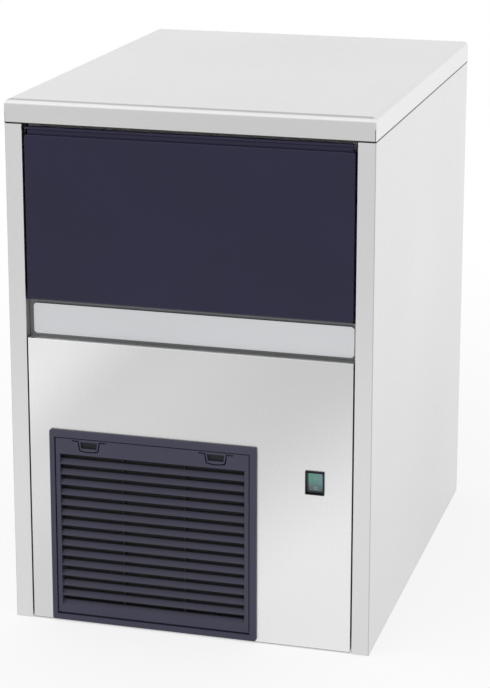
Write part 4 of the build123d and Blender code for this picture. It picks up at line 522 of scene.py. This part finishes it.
def rocker_mark(name, shape, share, lean, material):
    """Puts a printed mark on the upper or lower half of the rocker's face, which leans back."""
    tall = ROCKER_HIGH.z - ROCKER_LOW.z
    tilt = math.atan2(lean, tall / 2)
    place = Matrix.Translation(((ROCKER_LOW.x + ROCKER_HIGH.x) / 2 + MARK_SIDE,
                                ROCKER_LOW.y + ROCKER_RISE - math.tan(tilt) * share * tall - MARK_PROUD,
                                (ROCKER_LOW.z + ROCKER_HIGH.z) / 2 + share * tall))
    mesh = bpy.data.meshes.new(name)
    shape.to_mesh(mesh)
    shape.free()
    mesh.transform(place @ Matrix.Rotation(tilt, 4, "X"))
    mesh.materials.append(material)
    piece = bpy.data.objects.new(name, mesh)
    bpy.context.scene.collection.objects.link(piece)
    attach(piece, "rocker")


def line_shape():
    """Upright bar of the line mark."""
    shape = bmesh.new()
    bmesh.ops.create_cube(shape, size=1.0, matrix=Matrix.Diagonal((MARK_WIDTH, MARK_THICK, MARK_TALL, 1)))
    return shape


def ring_shape():
    """Flat ring of the ring mark."""
    shape = bmesh.new()
    turn = 2 * math.pi / MARK_STEPS
    outer, inner = MARK_TALL / 2, MARK_TALL / 2 - MARK_WIDTH
    loops = [[shape.verts.new((r * math.cos(i * turn), y, r * math.sin(i * turn))) for i in range(MARK_STEPS)]
             for r, y in ((outer, 0), (outer, MARK_THICK), (inner, MARK_THICK), (inner, 0))]
    for k, loop in enumerate(loops):
        after = loops[(k + 1) % len(loops)]
        for i in range(MARK_STEPS):
            j = (i + 1) % MARK_STEPS
            shape.faces.new((loop[i], loop[j], after[j], after[i]))
    bmesh.ops.recalc_face_normals(shape, faces=shape.faces)
    return shape


def rocker_marks():
    """Line and ring that mark the two positions of the switch."""
    material = plastic("rocker_mark", linear(132, 160, 158), 0.4).material
    rocker_mark("rocker_line", line_shape(), MARK_SHARE, ROCKER_RISE, material)
    rocker_mark("rocker_ring", ring_shape(), -MARK_SHARE, ROCKER_DROP, material)


def build_world():
    """White surroundings, which light the object at a plain level."""
    world = bpy.data.worlds.new("world")
    bpy.context.scene.world = world
    world.use_nodes = True
    g = Graph(world.node_tree)
    axes = g.split(g.place("Generated"))
    front = g.slope(axes["Y"], *FRONT_SKY, FRONT_TONE, 1.0)
    high = g.slope(axes["Z"], *HIGH_SKY, 1.0, HIGH_TONE)
    strength = g.add("ShaderNodeMix")
    strength.inputs["A"].default_value = WORLD_LIGHT
    g.link(g.white_to_camera(g.join("MULTIPLY", front, high)), strength.inputs["B"])
    g.link(g.seen_directly(), strength.inputs["Factor"])
    background = g.tree.nodes["Background"]
    background.inputs["Color"].default_value = (1, 1, 1, 1)
    g.link(strength.outputs["Result"], background.inputs["Strength"])


def floor_material():
    """Pale floor that keeps shadows and blends into the white surroundings."""
    material = bpy.data.materials.new("floor")
    material.use_nodes = True
    material.node_tree.nodes.clear()
    g = Graph(material.node_tree)
    place = g.place("Object")
    matt = g.add("ShaderNodeBsdfDiffuse")
    matt.inputs["Color"].default_value = (FLOOR_TONE, FLOOR_TONE, FLOOR_TONE, 1)
    glow = g.add("ShaderNodeEmission")
    front = g.slope(g.split(place)["Y"], *FRONT_FLOOR, FRONT_TONE, 1.0)
    g.link(g.white_to_camera(front), glow.inputs["Strength"])
    distance = g.add("ShaderNodeVectorMath", operation="LENGTH")
    g.link(place, distance.inputs[0])
    share = g.slope(distance.outputs["Value"], *FLOOR_FADE, FLOOR_GLOW, 1.0)
    mix = g.add("ShaderNodeMixShader")
    g.link(g.join("MULTIPLY", g.seen_directly(), share), mix.inputs["Fac"])
    g.link(matt.outputs["BSDF"], mix.inputs[1])
    g.link(glow.outputs["Emission"], mix.inputs[2])
    out = g.add("ShaderNodeOutputMaterial")
    g.link(mix.outputs["Shader"], out.inputs["Surface"])
    return material


def build_floor():
    """Round pale floor under the machine."""
    mesh = bpy.data.meshes.new("floor")
    shape = bmesh.new()
    bmesh.ops.create_circle(shape, cap_ends=True, segments=FLOOR_STEPS, radius=FLOOR_RADIUS)
    shape.to_mesh(mesh)
    shape.free()
    mesh.materials.append(floor_material())
    floor = bpy.data.objects.new("floor", mesh)
    floor.location.z = LOW.z - FLOOR_GAP
    bpy.context.scene.collection.objects.link(floor)


def build_lamp():
    """One large lamp from the upper left in front, with the world as fill."""
    data = bpy.data.lights.new("key", "AREA")
    data.shape = "RECTANGLE"
    data.size, data.size_y = LAMP_SIZE
    data.energy = LAMP_POWER
    lamp = bpy.data.objects.new("key", data)
    lamp.location = LAMP_PLACE
    lamp.rotation_mode = "QUATERNION"
    lamp.rotation_quaternion = (Vector(LAMP_PLACE) - Vector(LAMP_AIM)).to_track_quat("Z", "Y")
    bpy.context.scene.collection.objects.link(lamp)


bpy.context.scene.view_settings.view_transform = "Standard"
place_camera()
build_world()
build_floor()
build_lamp()
dress_nodes()
rocker_marks()
